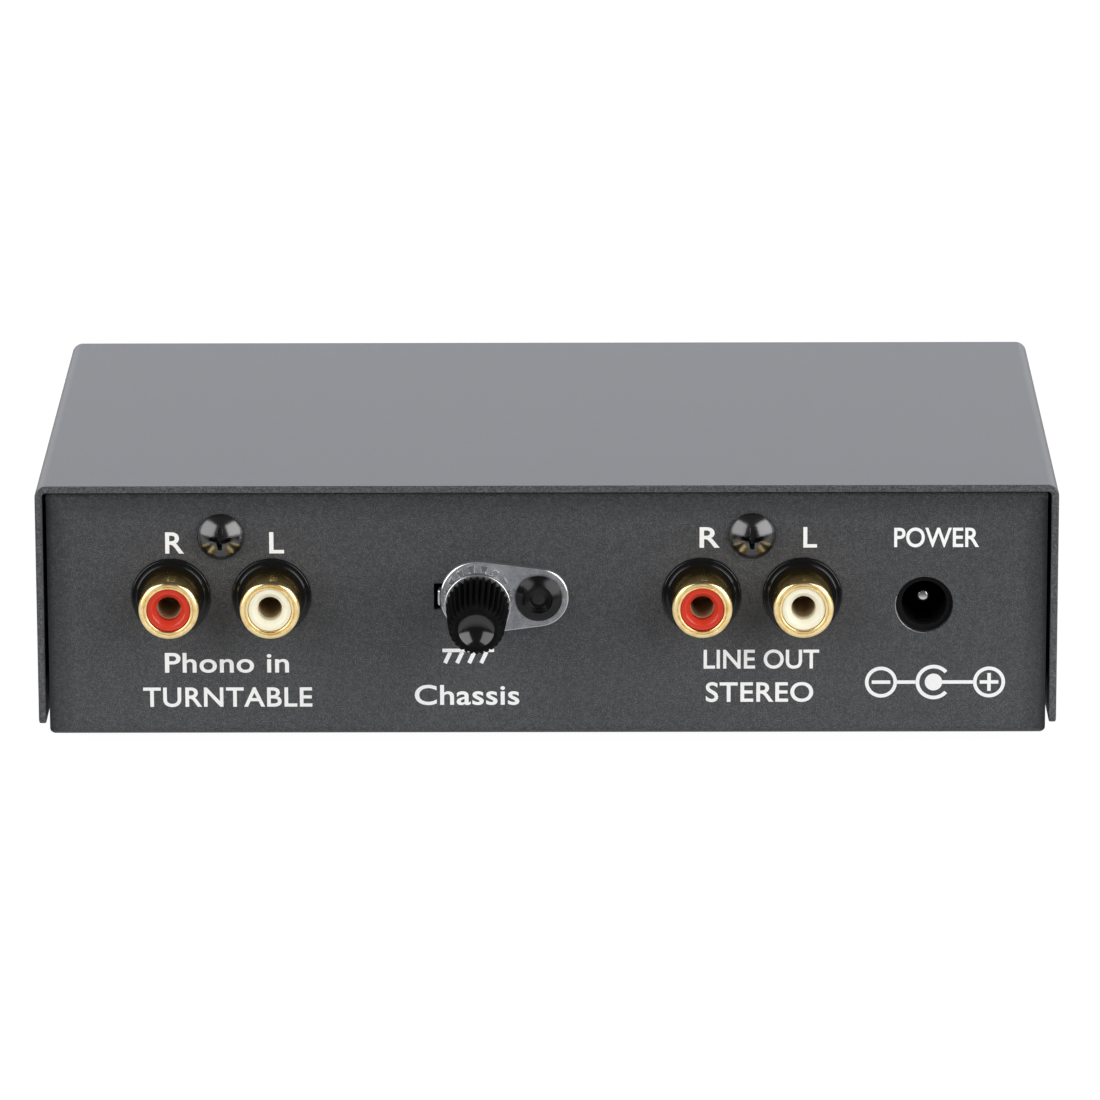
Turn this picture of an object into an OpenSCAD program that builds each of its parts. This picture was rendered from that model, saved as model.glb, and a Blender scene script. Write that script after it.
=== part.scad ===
// Two-channel phono preamplifier in a folded steel case.
// The connectors face -Y, Z is up and the four feet stand on z = 0. All sizes are in millimetres.

/* [Case] */
// Outer width of the cover
case_w = 142; // [138:0.5:160]
// Length of the cover from its rear edge to its front edge
case_d = 85; // [83:0.5:110]
// Height of the cover's top face above the chassis underside
case_h = 36; // [35.5:0.5:46]
// Sheet thickness of the cover
cover_sheet = 1; // [0.8:0.1:1.4]
// Outer bend radius of the cover's two long top edges
cover_bend = 1.6; // [1.5:0.1:3]
// Height of the cover's lower edges above the chassis underside
cover_lift = 1.6; // [1:0.1:3]
// Radius of the cover's four lower corners
cover_corner = 1.2; // [0.4:0.1:3]
// Sheet thickness of the chassis
chassis_sheet = 1; // [0.8:0.1:1.1]
// Outer bend radius of the chassis folds
chassis_bend = 1.2; // [1.2:0.1:2]
// Distance that the cover's ends reach past the panel faces
cover_overhang = 0.6; // [0.3:0.1:1.5]
// Gap between a panel's side edge and the cover's side
side_gap = 0.5; // [0.3:0.1:1]
// Depth of the flange folded along each panel's top edge
top_flange = 7; // [4:0.5:9]
// Radius of the lower corners of both panels
panel_corner = 1; // [0.5:0.1:2]
// Length of each side tab of the chassis
tab_length = 16; // [12:0.5:20]
// Height of each side tab of the chassis
tab_height = 13; // [12:0.5:16]
// Radius of the raised pad round each tab's screw hole
pad_r = 3.6; // [3:0.1:4]

/* [Panel layout] */
// Height of the phono jack and ground axes above the chassis underside
axis_z = 20; // [19:0.1:22]
// Distance from the panel's left edge to the centre of the input pair
input_side = 24.2; // [21.5:0.1:26]
// Distance from the panel's right edge to the centre of the output pair
output_side = 41; // [38.5:0.1:43]
// Ground stud's place across the panel
ground_x = -9.6; // [-12:0.1:-7]
// Distance from the panel's right edge to the DC socket's axis
dc_side = 17; // [15.5:0.1:18.5]
// Height of the DC socket above the chassis underside
dc_z = 18.7; // [18:0.1:20]
// Distance from the front panel's side edge to the power lamp's axis
lamp_side = 17.2; // [14:0.1:22]
// Height of the power lamp above the chassis underside
lamp_z = 20; // [17:0.1:24]

/* [Phono jacks] */
// Distance between the two jacks of a pair
jack_pitch = 14; // [13:0.1:15]
// Outer radius of the jack shell
shell_r = 4.15; // [4.1:0.01:4.2]
// Reach of the shell beyond the panel face
shell_reach = 7.4; // [6.5:0.1:9]
// Radius of the shell's rounded lip
shell_lip = 0.4; // [0.2:0.05:0.5]
// Outer radius of the shell's seat inside the jack body, behind its shoulder
shell_seat_r = 3.95; // [3.85:0.01:4.05]
// Radius of the shell's bore, which holds the insulator
shell_bore_r = 3.05; // [3:0.01:3.2]
// Mean radius of the ring turned in the shell's front face
groove_r = 3.55; // [3.5:0.01:3.6]
// Width of that ring
groove_w = 0.16; // [0.1:0.02:0.2]
// Depth of that ring
groove_depth = 0.2; // [0.1:0.05:0.4]
// Set-back of the insulator's face from the shell's face
insulator_inset = 0.3; // [0.1:0.05:0.8]
// Entry radius of the insulator's hole
entry_r = 1.9; // [1.85:0.01:2]
// Radius of the insulator's hole behind the entry
throat_r = 1.68; // [1.66:0.01:1.75]
// Depth of the funnel at the entry
entry_depth = 0.5; // [0.3:0.05:0.9]
// Set-back of the centre contact from the shell's face
contact_inset = 2.2; // [1.6:0.1:3]
// Outer radius of the centre contact
contact_r = 2; // [1.9:0.05:2.2]
// Bore radius of the centre contact, for a 3.2 mm plug pin
contact_bore_r = 1.6; // [1.55:0.01:1.65]
// Depth of the centre contact's bore
contact_depth = 9; // [8:0.1:9.5]
// Outer radius of the collar that fills the panel hole
collar_r = 5.45; // [5.2:0.05:5.8]
// Reach of the collar's outer step beyond the panel face
collar_reach = 0.45; // [0.2:0.05:0.8]
// Radius of the collar's raised inner step
collar_step_r = 4.85; // [4.6:0.05:5]
// Height of that inner step above the outer one
collar_step = 0.3; // [0.1:0.05:0.5]
// Depth of the jack body behind the panel
jack_depth = 9.6; // [9:0.1:11]
// Distance from a jack's axis to the body's side and top faces
jack_margin = 5.8; // [5.6:0.1:6.2]
// Thickness of the jack body's back wall
jack_back = 1.4; // [1:0.1:2]
// Width of the screw tower on the jack body
tower_w = 8; // [7:0.1:9]
// Height of the pair's fixing screw above the jack axes
jack_screw_rise = 8.7; // [8.2:0.1:9]

/* [DC socket] */
// Radius of the panel hole in front of the DC socket
dc_hole_r = 3.98; // [3.8:0.01:4.3]
// Width of the socket body
dc_body_w = 9; // [8.6:0.1:10]
// Height of the socket body above the bore's axis
dc_body_rise = 5; // [4.6:0.1:6]
// Depth of the socket body
dc_body_d = 13.5; // [12.5:0.1:15]
// Radius of the socket's bore
dc_bore_r = 3.15; // [3.1:0.01:3.3]
// Depth of the socket's bore
dc_bore_depth = 9.8; // [9:0.1:10.5]
// Radius of the centre pin
dc_pin_r = 1; // [0.95:0.01:1.05]
// Radius of the centre pin's root in the socket's back wall
dc_root_r = 1.4; // [1.2:0.05:1.6]
// Set-back of the centre pin's tip from the panel face
dc_pin_inset = 4.6; // [3:0.1:5]
// Width of the socket's spring contact
dc_spring_w = 3; // [2.5:0.1:3.4]
// Distance from the socket's mouth to the spring contact
dc_spring_inset = 2; // [1:0.1:3]
// Thickness of the socket's spring contact
dc_spring_t = 0.4; // [0.3:0.05:0.5]
// Rise of the spring contact above the bottom of the bore
dc_spring_rise = 0.2; // [0.1:0.05:0.3]

/* [Ground terminal] */
// Thickness of the terminal plate
plate_t = 0.9; // [0.6:0.1:1.2]
// Radius of the plate's end round the stud
plate_stud_r = 5.3; // [5:0.1:5.6]
// Radius of the plate's end round the rivet
plate_rivet_r = 4.2; // [4:0.1:4.5]
// Distance from the stud to the rivet
rivet_pitch = 8.45; // [8:0.05:9]
// Width of the plate's locating tab
plate_tab_w = 2.2; // [1.8:0.1:3]
// Height of the panel slot for the locating tab
slot_h = 3.7; // [3.4:0.1:4.5]
// Distance from the slot's outer edge to the stud's axis
slot_reach = 6.1; // [5.9:0.1:6.6]
// Radius of the stud's M4 thread
stud_r = 1.95; // [1.9:0.01:1.98]
// End of the stud in front of the panel face
stud_reach = 12.4; // [11.5:0.1:12.6]
// Radius of the stud's head inside the case
stud_head_r = 4; // [3.6:0.1:4.4]
// Thickness of the stud's head
stud_head_h = 2.4; // [2:0.1:2.8]
// Chamfer at the stud's end
stud_chamfer = 0.4; // [0.2:0.05:0.6]
// Thickness of the ring tag under the stud's head
tag_t = 0.5; // [0.4:0.05:0.8]
// Outer radius of the ring tag
tag_r = 4.2; // [3.8:0.1:4.6]
// Width of the ring tag's tail
tag_w = 2.4; // [2:0.1:3]
// Height of the tail's lower bend above the board
tag_knee = 2.4; // [1.5:0.1:3]
// Distance from the panel to the tail where it goes down through the board
tag_leg_gap = 3; // [2.5:0.1:4]
// Outer radius of the toothed washer
tooth_washer_r = 4.75; // [4.5:0.05:5]
// Thickness of the toothed washer
tooth_washer_t = 0.5; // [0.4:0.05:0.7]
// Length of the washer's teeth
tooth_l = 0.9; // [0.6:0.05:1.1]
// Number of teeth on the toothed washer
washer_teeth = 16; // [12:1:20]
// Width across the flats of the hexagon nut
hex_flats = 7; // [7:0.1:8]
// Height of the hexagon nut
hex_h = 3.2; // [2.8:0.1:3.4]
// Outer radius of the sliding washer
slide_washer_r = 4.6; // [4.4:0.05:4.8]
// Thickness of the sliding washer
slide_washer_t = 0.8; // [0.6:0.1:1]
// Radius of the thread insert's spigot in the sliding washer
spigot_r = 2.6; // [2.4:0.05:2.7]
// Outer radius of the thread insert
insert_r = 3; // [2.9:0.05:3.2]
// Length of the thread insert inside the thumb nut
insert_l = 7; // [6:0.1:8]
// Length of the thumb nut
nut_l = 12; // [11.6:0.1:14]
// Radius over the knurl at the thumb nut's base
nut_base_r = 4.4; // [4.2:0.05:4.6]
// Radius over the knurl at the thumb nut's shoulder
nut_shoulder_r = 3.9; // [3.75:0.05:4.1]
// Distance from the shoulder to the thumb nut's tip
nut_shoulder = 1.7; // [1:0.1:2.5]
// Radius of the flat ring at the thumb nut's tip
nut_tip_r = 3.1; // [2.8:0.05:3.4]
// Radius of the dish in the thumb nut's tip
dish_r = 2.48; // [2.2:0.02:2.6]
// Depth of the dish in the thumb nut's tip
dish_depth = 1; // [0.6:0.1:1.4]
// Number of grooves in the thumb nut's knurl
knurl_count = 30; // [24:1:36]
// Depth of the knurl's grooves
knurl_depth = 0.32; // [0.2:0.02:0.4]
// Radius of the rivet's head
rivet_head_r = 3.25; // [3:0.05:3.5]
// Height of the rivet's head
rivet_head_h = 1.5; // [1.2:0.1:1.8]
// Radius of the rivet's shank
rivet_r = 1.6; // [1.5:0.05:1.7]
// Radius of the rivet's bulb behind the panel
rivet_bulb_r = 2.4; // [2.2:0.1:2.8]
// Length of the rivet's bulb
rivet_bulb_l = 2.2; // [1.6:0.1:3]
// Radius of the mandrel left in the rivet
mandrel_r = 0.9; // [0.7:0.05:1]
// Height of the mandrel's head behind the bulb, which is also how much wider the head is
mandrel_head = 0.8; // [0.5:0.1:1]
// Depth of the dish in the rivet's head
rivet_dish = 0.7; // [0.5:0.05:0.9]

/* [Screws and feet] */
// Radius of the jack screws' heads
jack_head_r = 3.25; // [3:0.05:3.5]
// Height of the jack screws' heads
jack_head_h = 2.1; // [1.8:0.1:2.4]
// Length of the jack screws under the head
jack_screw_l = 8; // [7:0.1:8.5]
// Shank radius of every M3 screw
screw_r = 1.45; // [1.4:0.01:1.48]
// Head radius of the cover screws
cover_head_r = 2.8; // [2.6:0.1:3]
// Head height of the cover screws
cover_head_h = 0.8; // [0.6:0.05:0.9]
// Length of the cover screws under the head
cover_screw_l = 5.5; // [4.5:0.1:6]
// Height of the cover screws above the chassis underside
cover_screw_z = 7.6; // [7.4:0.1:7.8]
// Distance from the cover's ends to the nearest cover screw
cover_screw_inset = 17; // [15:0.5:20]
// Head radius of the board screws
board_head_r = 2.75; // [2.6:0.05:2.9]
// Head height of the board screws
board_head_h = 1.8; // [1.6:0.1:2.1]
// Length of the board screws under the head
board_screw_l = 6; // [5:0.1:6.5]
// Radius of the rubber feet
foot_r = 5; // [4:0.1:5.5]
// Taper of the feet towards the ground
foot_taper = 0.4; // [0.2:0.1:0.8]
// Height of the rubber feet
foot_h = 2; // [1.5:0.1:2.1]
// Distance from the panel faces and edges to the feet's centres
foot_inset = 16; // [15:0.5:18]

/* [Circuit board] */
// Height of the board's top face above the chassis underside
board_top = 11.6; // [11.4:0.1:12]
// Thickness of the board
board_t = 1.6; // [1.2:0.1:1.7]
// Gap between the board and the rear panel
board_rear_gap = 1; // [0.8:0.1:1.5]
// Gap between the board and the front panel, for sliding the jacks into their holes
board_front_gap = 9; // [8.5:0.1:10]
// Gap between the board and the chassis side tabs
board_side_gap = 2; // [1.5:0.1:3]
// Distance from the board's side edges to its screws
board_hole_side = 5; // [4.5:0.1:6]
// Distance from the board's rear edge to its rear screws
board_hole_rear = 20; // [19:0.1:22]
// Distance from the board's front edge to its front screws
board_hole_front = 6; // [5:0.1:8]
// Width across the flats of the standoffs
standoff_flats = 5.5; // [5:0.1:6]
// Radius of the standoffs' riveted shanks
standoff_shank_r = 2; // [1.8:0.05:2.2]

/* [Components] */
// Distance from the board's rear edge to the first row of components
first_row = 19; // [18.5:0.1:20]
// Distance between rows of components
row_step = 12; // [11.5:0.1:12.5]
// Length, width and height of an operational amplifier's package
op_amp_size = [9.8, 6.4, 3.4];
// Centre of the left operational amplifier across the board
op_amp_x = -24; // [-24.5:0.1:-22]
// Distance between the two operational amplifiers
op_amp_step = 18; // [16:0.1:18.5]
// Distance between the pins of an operational amplifier
op_amp_pitch = 2.54; // [2.5:0.01:2.56]
// Distance between its two rows of pins
op_amp_rows = 7.62; // [7.4:0.01:7.8]
// Height of the amplifiers' packages above the board
op_amp_lift = 0.6; // [0.4:0.1:1]
// Width, depth and height of a film capacitor
film_size = [7.2, 5, 8.5];
// Distance that the left film capacitors stand to the left of the input pair's centre
film_shift = 5; // [4.5:0.1:6]
// Gap between neighbouring film capacitors
film_gap = 2.8; // [2:0.1:3.2]
// Distance between a film capacitor's leads
film_pitch = 5; // [4.5:0.1:5.5]
// Radius of a coupling capacitor
coupling_r = 3.15; // [3:0.05:3.5]
// Height of a coupling capacitor
coupling_h = 11.5; // [10:0.1:13]
// Centre of the left coupling capacitors across the board
coupling_x = 9; // [8:0.1:10]
// Gap between neighbouring coupling capacitors
coupling_gap = 3.7; // [2:0.1:4.5]
// Radius of a supply capacitor
supply_r = 5; // [4.5:0.1:5.2]
// Height of a supply capacitor
supply_h = 16.5; // [14:0.1:18]
// Centre of the left supply capacitor across the board
supply_x = 34; // [31:0.1:35]
// Gap between the supply capacitors
supply_gap = 3.5; // [1:0.1:4]
// Height of the groove rolled round a capacitor's can
can_groove_z = 1.4; // [1:0.1:2]
// Radius of that groove's section
can_groove_r = 0.45; // [0.3:0.05:0.6]
// Distance between a capacitor's two leads
capacitor_pitch = 2.5; // [2:0.1:3.5]
// Width, depth and height of the voltage regulator's package
regulator_size = [10, 4.5, 9];
// Height of the regulator's package above the board
regulator_lift = 3.5; // [2.5:0.1:4.5]
// Thickness of the regulator's mounting tab
regulator_tab_t = 1.3; // [1:0.1:1.5]
// Height of the regulator's mounting tab above its package
regulator_tab_h = 6; // [5:0.1:6.5]
// Distance from the board's right edge to the regulator's centre
regulator_side = 12; // [8:0.1:16]
// Radius of a resistor's body
resistor_r = 1.15; // [1:0.05:1.3]
// Length of a resistor's body
resistor_l = 6.3; // [5.5:0.1:6.6]
// Distance between a resistor's leads
resistor_pitch = 9.6; // [8.5:0.1:10]
// Distance between neighbouring resistors
resistor_step = 12; // [11.5:0.1:12.2]
// Centre of the first resistor across the board
resistor_x = -48; // [-50:0.1:-46]
// Number of resistors in a row
resistor_columns = 6; // [4:1:7]
// Radius of the diode's body
diode_r = 1.35; // [1.2:0.05:1.5]
// Length of the diode's body
diode_l = 5.2; // [4.5:0.1:5.5]
// Centre of the diode across the board
diode_x = 38; // [36:0.1:42]
// Radius of the round component leads
lead_r = 0.3; // [0.25:0.01:0.32]
// Length of the leads below the board
lead_tail = 1.2; // [0.8:0.1:2]
// Radius of the power lamp
lamp_r = 1.5; // [1.4:0.05:1.6]
// Reach of the power lamp beyond the front panel
lamp_reach = 1.6; // [1.2:0.1:2.4]
// Radius of the lamp's flange behind the panel
lamp_flange_r = 1.95; // [1.9:0.05:2.2]
// Thickness of the lamp's flange
lamp_flange_t = 1; // [0.8:0.1:1.5]
// Width of the lamp's square leads
lamp_lead_w = 0.5; // [0.4:0.02:0.56]

/* [Fits] */
// Radial gap between seated round pieces
seat_gap = 0.02; // [0.01:0.005:0.03]
// Radial gap between a screw and its threaded hole
thread_gap = 0.05; // [0.02:0.01:0.08]
// Radial running gap of the thumb nut on the stud and in its washer
running_gap = 0.08; // [0.04:0.01:0.1]
// Radial gap of clearance holes
hole_gap = 0.2; // [0.15:0.05:0.4]
// Gap round a component lead in its board hole
lead_gap = 0.15; // [0.1:0.01:0.2]

/* [Hidden] */
$fn = 64;
// Small overlap that keeps cut faces clean
cut = 1;

// The case's own frame has y = 0 at the cover's rear edge and z = 0 under the chassis.
face_y = cover_overhang;
panel_h = case_h - cover_sheet;
panel_w = case_w - 2 * cover_sheet - 2 * side_gap;
front_face_y = case_d - cover_overhang;
rear_inner_y = face_y + chassis_sheet;
front_inner_y = front_face_y - chassis_sheet;
cover_inner_w = case_w - 2 * cover_sheet;

// Stack of the ground terminal, counted outwards from the rear panel's face
tooth_washer_z = plate_t;
hex_z = tooth_washer_z + tooth_washer_t;
slide_washer_z = hex_z + hex_h;
nut_z = slide_washer_z + slide_washer_t;
nut_end = nut_z + nut_l;
tag_z = -chassis_sheet - tag_t;

// The whole part is centred on the origin along Y, and the feet stand on z = 0.
part_rear = face_y - nut_end;
part_front = max(case_d, front_face_y + lamp_reach);
case_shift = -(part_rear + part_front) / 2;

// Places of the board and of what it carries
board_rear = rear_inner_y + board_rear_gap;
board_front = front_inner_y - board_front_gap;
board_w = panel_w - 2 * chassis_sheet - 2 * board_side_gap;
board_under = board_top - board_t;
screw_hole_r = screw_r + thread_gap;
standoff_places = [
    for (side = [-1, 1], y = [board_rear + board_hole_rear, board_front - board_hole_front])
        [side * (board_w / 2 - board_hole_side), y]
];
tab_places = [
    for (side = [-1, 1], y = [cover_screw_inset, case_d - cover_screw_inset]) [side, y]
];
foot_places = [
    for (side = [-1, 1], y = [face_y + foot_inset, front_face_y - foot_inset])
        [side * (panel_w / 2 - foot_inset), y]
];
input_x = input_side - panel_w / 2;
output_x = panel_w / 2 - output_side;
dc_x = panel_w / 2 - dc_side;
lamp_x = panel_w / 2 - lamp_side;
pair_places = [input_x, output_x];
jack_places = [for (pair = pair_places, side = [-1, 1]) pair + side * jack_pitch / 2];

// Legs that leave the back of a connector: width, thickness and set-back from the connector
leg_w = 1.6;
leg_t = 0.4;
leg_step = 1.5;
jack_back_y = rear_inner_y + jack_depth;
dc_back_y = rear_inner_y + dc_body_d;
shell_leg_y = jack_back_y + leg_step / 2;
contact_leg_y = shell_leg_y + leg_step;
dc_spring_leg_y = dc_back_y + leg_step / 2;
dc_pin_leg_y = dc_spring_leg_y + leg_step;
tag_leg_y = rear_inner_y + tag_leg_gap;
flat_legs = concat(
    [for (x = jack_places, y = [shell_leg_y, contact_leg_y]) [x, y, leg_w, leg_t]],
    [[dc_x, dc_spring_leg_y, leg_w, leg_t], [dc_x, dc_pin_leg_y, leg_w, leg_t]],
    [[ground_x, tag_leg_y, tag_w, tag_t]]
);

// Places of the components: each is [x, y] of the centre
function row_y(n) = board_rear + first_row + n * row_step;
film_step = film_size[0] + film_gap;
film_places = [
    for (column = [0, 1], n = [0, 1]) [input_x - film_shift + column * film_step, row_y(n)]
];
op_amp_places = [for (column = [0, 1]) [op_amp_x + column * op_amp_step, row_y(1)]];
coupling_step = 2 * coupling_r + coupling_gap;
coupling_places = [
    for (column = [0, 1], n = [0, 1]) [coupling_x + column * coupling_step, row_y(n)]
];
supply_step = 2 * supply_r + supply_gap;
supply_places = [for (column = [0, 1]) [supply_x + column * supply_step, row_y(1)]];
regulator_place = [board_w / 2 - regulator_side, row_y(2)];
resistor_places = [
    for (column = [0 : resistor_columns - 1], n = [2, 3])
        [resistor_x + column * resistor_step, row_y(n)]
];
diode_place = [diode_x, row_y(0)];
regulator_lead_pitch = 2.54;
lamp_lead_pitch = 2.54;
lamp_lead_y = board_front - 2;
capacitor_places = concat(coupling_places, supply_places);
op_amp_lead_places = [
    for (place = op_amp_places, n = [-1.5 : 1.5], side = [-1, 1])
        [place[0] + n * op_amp_pitch, place[1] + side * op_amp_rows / 2]
];
capacitor_lead_places = concat(
    [for (place = film_places, side = [-1, 1]) [place[0] + side * film_pitch / 2, place[1]]],
    [for (place = capacitor_places, side = [-1, 1])
        [place[0] + side * capacitor_pitch / 2, place[1]]]
);
regulator_lead_places = [
    for (n = [-1, 0, 1]) [regulator_place[0] + n * regulator_lead_pitch, regulator_place[1]]
];
axial_places = concat(resistor_places, [diode_place]);
axial_lead_places = [
    for (place = axial_places, side = [-1, 1]) [place[0] + side * resistor_pitch / 2, place[1]]
];
lamp_lead_places = [
    for (side = [-1, 1]) [lamp_x + side * lamp_lead_pitch / 2, lamp_lead_y]
];
round_leads = concat(op_amp_lead_places, capacitor_lead_places, regulator_lead_places,
    axial_lead_places, lamp_lead_places);

powder_grey = [0.27, 0.27, 0.28];
gloss_black = [0.05, 0.05, 0.055];
matt_black = [0.09, 0.09, 0.09];
nickel = [0.74, 0.74, 0.73];
gold = [0.86, 0.68, 0.30];
jack_red = [0.80, 0.17, 0.11];
jack_white = [0.93, 0.91, 0.84];
board_green = [0.07, 0.30, 0.16];
tinned = [0.78, 0.79, 0.80];

// ---------- Helpers ----------

// Draws in the case's frame and stands the result on the feet.
module in_case() {
    translate([0, case_shift, foot_h]) children();
}

// Draws on the rear panel: x to the right, y up from the given height, z outwards from the face.
module on_rear(x, z) {
    in_case() translate([x, face_y, z]) rotate([90, 0, 0]) children();
}

// Extrudes a (y, z) section along X, centred on x = 0.
module across(w) {
    translate([-w / 2, 0, 0]) rotate([90, 0, 90]) linear_extrude(w) children();
}

// Extrudes an (x, z) section along Y from y = 0.
module along(d) {
    translate([0, d, 0]) rotate([90, 0, 0]) linear_extrude(d) children();
}

// Rectangle between two corners, with all its corners rounded.
module round_rect(low, high, r) {
    translate([low[0] + r, low[1]]) square([high[0] - low[0] - 2 * r, high[1] - low[1]]);
    translate([low[0], low[1] + r]) square([high[0] - low[0], high[1] - low[1] - 2 * r]);
    for (x = [low[0] + r, high[0] - r], y = [low[1] + r, high[1] - r])
        translate([x, y]) circle(r);
}

// Cube between two corners.
module block(low, high) {
    translate(low) cube(high - low);
}

module tube(outer_r, inner_r, low, high) {
    difference() {
        translate([0, 0, low]) cylinder(r = outer_r, h = high - low);
        translate([0, 0, low - cut]) cylinder(r = inner_r, h = high - low + 2 * cut);
    }
}

// Domed head that stands on z = 0, with a straight rim below the dome.
module domed_head(r, h, rim) {
    dome = h - rim;
    dome_r = (dome * dome + r * r) / (2 * dome);
    intersection() {
        cylinder(r = r, h = h);
        translate([0, 0, h - dome_r]) sphere(dome_r, $fn = 96);
    }
}

// Cross recess sunk from the given height: two tapering slots.
module cross_recess(reach, width, top, depth) {
    for (turn = [0, 90])
        rotate([90, 0, turn])
            translate([0, 0, -width / 2])
                linear_extrude(width)
                    polygon([
                        [-reach, top + cut], [-reach, top - depth * 0.35],
                        [-reach * 0.35, top - depth], [reach * 0.35, top - depth],
                        [reach, top - depth * 0.35], [reach, top + cut]
                    ]);
}

// Screw with its seat on z = 0, its head above and its shank below.
module cross_screw(head_r, head_h, rim, length) {
    difference() {
        domed_head(head_r, head_h, rim);
        cross_recess(head_r * 0.55, head_r * 0.2, head_h, head_h * 0.7);
    }
    translate([0, 0, -length]) cylinder(r = screw_r, h = length + rim / 2);
}

// Vertical lead through the board, from the given height down.
module lead(place, top) {
    translate([place[0], place[1], board_under - lead_tail])
        cylinder(r = lead_r, h = top - board_under + lead_tail, $fn = 24);
}

// Flat leg that leaves a connector's back at height z and goes down through the board.
module back_leg(x, from_y, leg_y, z, w, t) {
    block([x - w / 2, from_y, z - t / 2], [x + w / 2, leg_y + t / 2, z + t / 2]);
    block([x - w / 2, leg_y - t / 2, board_under - lead_tail], [x + w / 2, leg_y + t / 2, z]);
}

// ---------- Case ----------

// Folded sheet seen from the side: pan, two panels and the flange along each panel's top.
module chassis_section() {
    difference() {
        round_rect([face_y, 0], [front_face_y, panel_h], chassis_bend);
        translate([rear_inner_y, chassis_sheet])
            square([front_inner_y - rear_inner_y, panel_h - 2 * chassis_sheet]);
        translate([face_y + top_flange, panel_h / 2])
            square([front_face_y - face_y - 2 * top_flange, panel_h]);
    }
}

// Outline of the panels: the lower corners show, and the upper ones clear the cover's inner bend.
module panel_outline() {
    upper_r = cover_bend - cover_sheet;
    intersection() {
        round_rect([-panel_w / 2, 0], [panel_w / 2, panel_h + 2 * panel_corner], panel_corner);
        round_rect([-panel_w / 2, -2 * upper_r], [panel_w / 2, panel_h], upper_r);
    }
}

// Side tab folded up from the pan, with a raised pad that meets the cover.
module side_tab(side, y) {
    outer = side * panel_w / 2;
    inner = side * (panel_w / 2 - chassis_sheet);
    block([min(outer, inner), y - tab_length / 2, chassis_sheet / 2],
        [max(outer, inner), y + tab_length / 2, tab_height]);
    translate([inner, y, cover_screw_z])
        rotate([0, side * 90, 0]) cylinder(r = pad_r, h = chassis_sheet + side_gap);
}

module chassis() {
    color(powder_grey) in_case() difference() {
        union() {
            intersection() {
                across(panel_w) chassis_section();
                along(case_d) panel_outline();
            }
            for (tab = tab_places) side_tab(tab[0], tab[1]);
        }
        for (tab = tab_places)
            translate([tab[0] * (cover_inner_w / 2 + cut), tab[1], cover_screw_z])
                rotate([0, -tab[0] * 90, 0])
                    cylinder(r = screw_hole_r, h = chassis_sheet + side_gap + 2 * cut);
        for (x = jack_places) rear_hole(x, axis_z, collar_r + seat_gap);
        for (x = pair_places) rear_hole(x, axis_z + jack_screw_rise, screw_r + hole_gap);
        rear_hole(dc_x, dc_z, dc_hole_r);
        rear_hole(ground_x, axis_z, stud_r + hole_gap);
        rear_hole(ground_x + rivet_pitch, axis_z, rivet_r + seat_gap);
        translate([ground_x - slot_reach, face_y - cut, axis_z - slot_h / 2])
            cube([slot_reach - plate_stud_r + 2 * plate_t, chassis_sheet + 2 * cut, slot_h]);
        translate([lamp_x, front_face_y + cut, lamp_z])
            rotate([90, 0, 0]) cylinder(r = lamp_r + seat_gap, h = chassis_sheet + 2 * cut);
        for (place = standoff_places)
            translate([place[0], place[1], -cut])
                cylinder(r = standoff_shank_r + seat_gap, h = chassis_sheet + 2 * cut);
    }
}

module rear_hole(x, z, r) {
    translate([x, face_y - cut, z])
        rotate([-90, 0, 0]) cylinder(r = r, h = chassis_sheet + 2 * cut);
}

module cover_section() {
    below = 2 * cover_bend;
    intersection() {
        difference() {
            round_rect([-case_w / 2, -below], [case_w / 2, case_h], cover_bend);
            round_rect([-cover_inner_w / 2, -2 * below], [cover_inner_w / 2, panel_h],
                cover_bend - cover_sheet);
        }
        translate([-case_w / 2, cover_lift]) square([case_w, case_h]);
    }
}

module cover() {
    color(powder_grey) in_case() difference() {
        intersection() {
            along(case_d) cover_section();
            across(case_w)
                round_rect([0, cover_lift], [case_d, case_h + 2 * cover_corner], cover_corner);
        }
        for (tab = tab_places)
            translate([tab[0] * (case_w / 2 + cut), tab[1], cover_screw_z])
                rotate([0, -tab[0] * 90, 0])
                    cylinder(r = screw_r + hole_gap, h = cover_sheet + 2 * cut);
    }
}

module cover_screws() {
    color(gloss_black) in_case()
        for (tab = tab_places)
            translate([tab[0] * case_w / 2, tab[1], cover_screw_z])
                rotate([0, tab[0] * 90, 0])
                    cross_screw(cover_head_r, cover_head_h, cover_head_h / 3, cover_screw_l);
}

module rubber_feet() {
    color(matt_black)
        for (place = foot_places)
            translate([place[0], place[1] + case_shift, 0])
                cylinder(r1 = foot_r - foot_taper, r2 = foot_r, h = foot_h);
}

// ---------- Board ----------

module circuit_board() {
    color(board_green) in_case() difference() {
        block([-board_w / 2, board_rear, board_under], [board_w / 2, board_front, board_top]);
        for (place = standoff_places)
            translate([place[0], place[1], board_under - cut])
                cylinder(r = screw_r + hole_gap, h = board_t + 2 * cut);
        for (leg = flat_legs)
            block([leg[0] - leg[2] / 2 - lead_gap, leg[1] - leg[3] / 2 - lead_gap,
                    board_under - cut],
                [leg[0] + leg[2] / 2 + lead_gap, leg[1] + leg[3] / 2 + lead_gap,
                    board_top + cut]);
        for (place = round_leads)
            translate([place[0], place[1], board_under - cut])
                cylinder(r = lead_r + lead_gap, h = board_t + 2 * cut, $fn = 24);
    }
}

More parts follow.
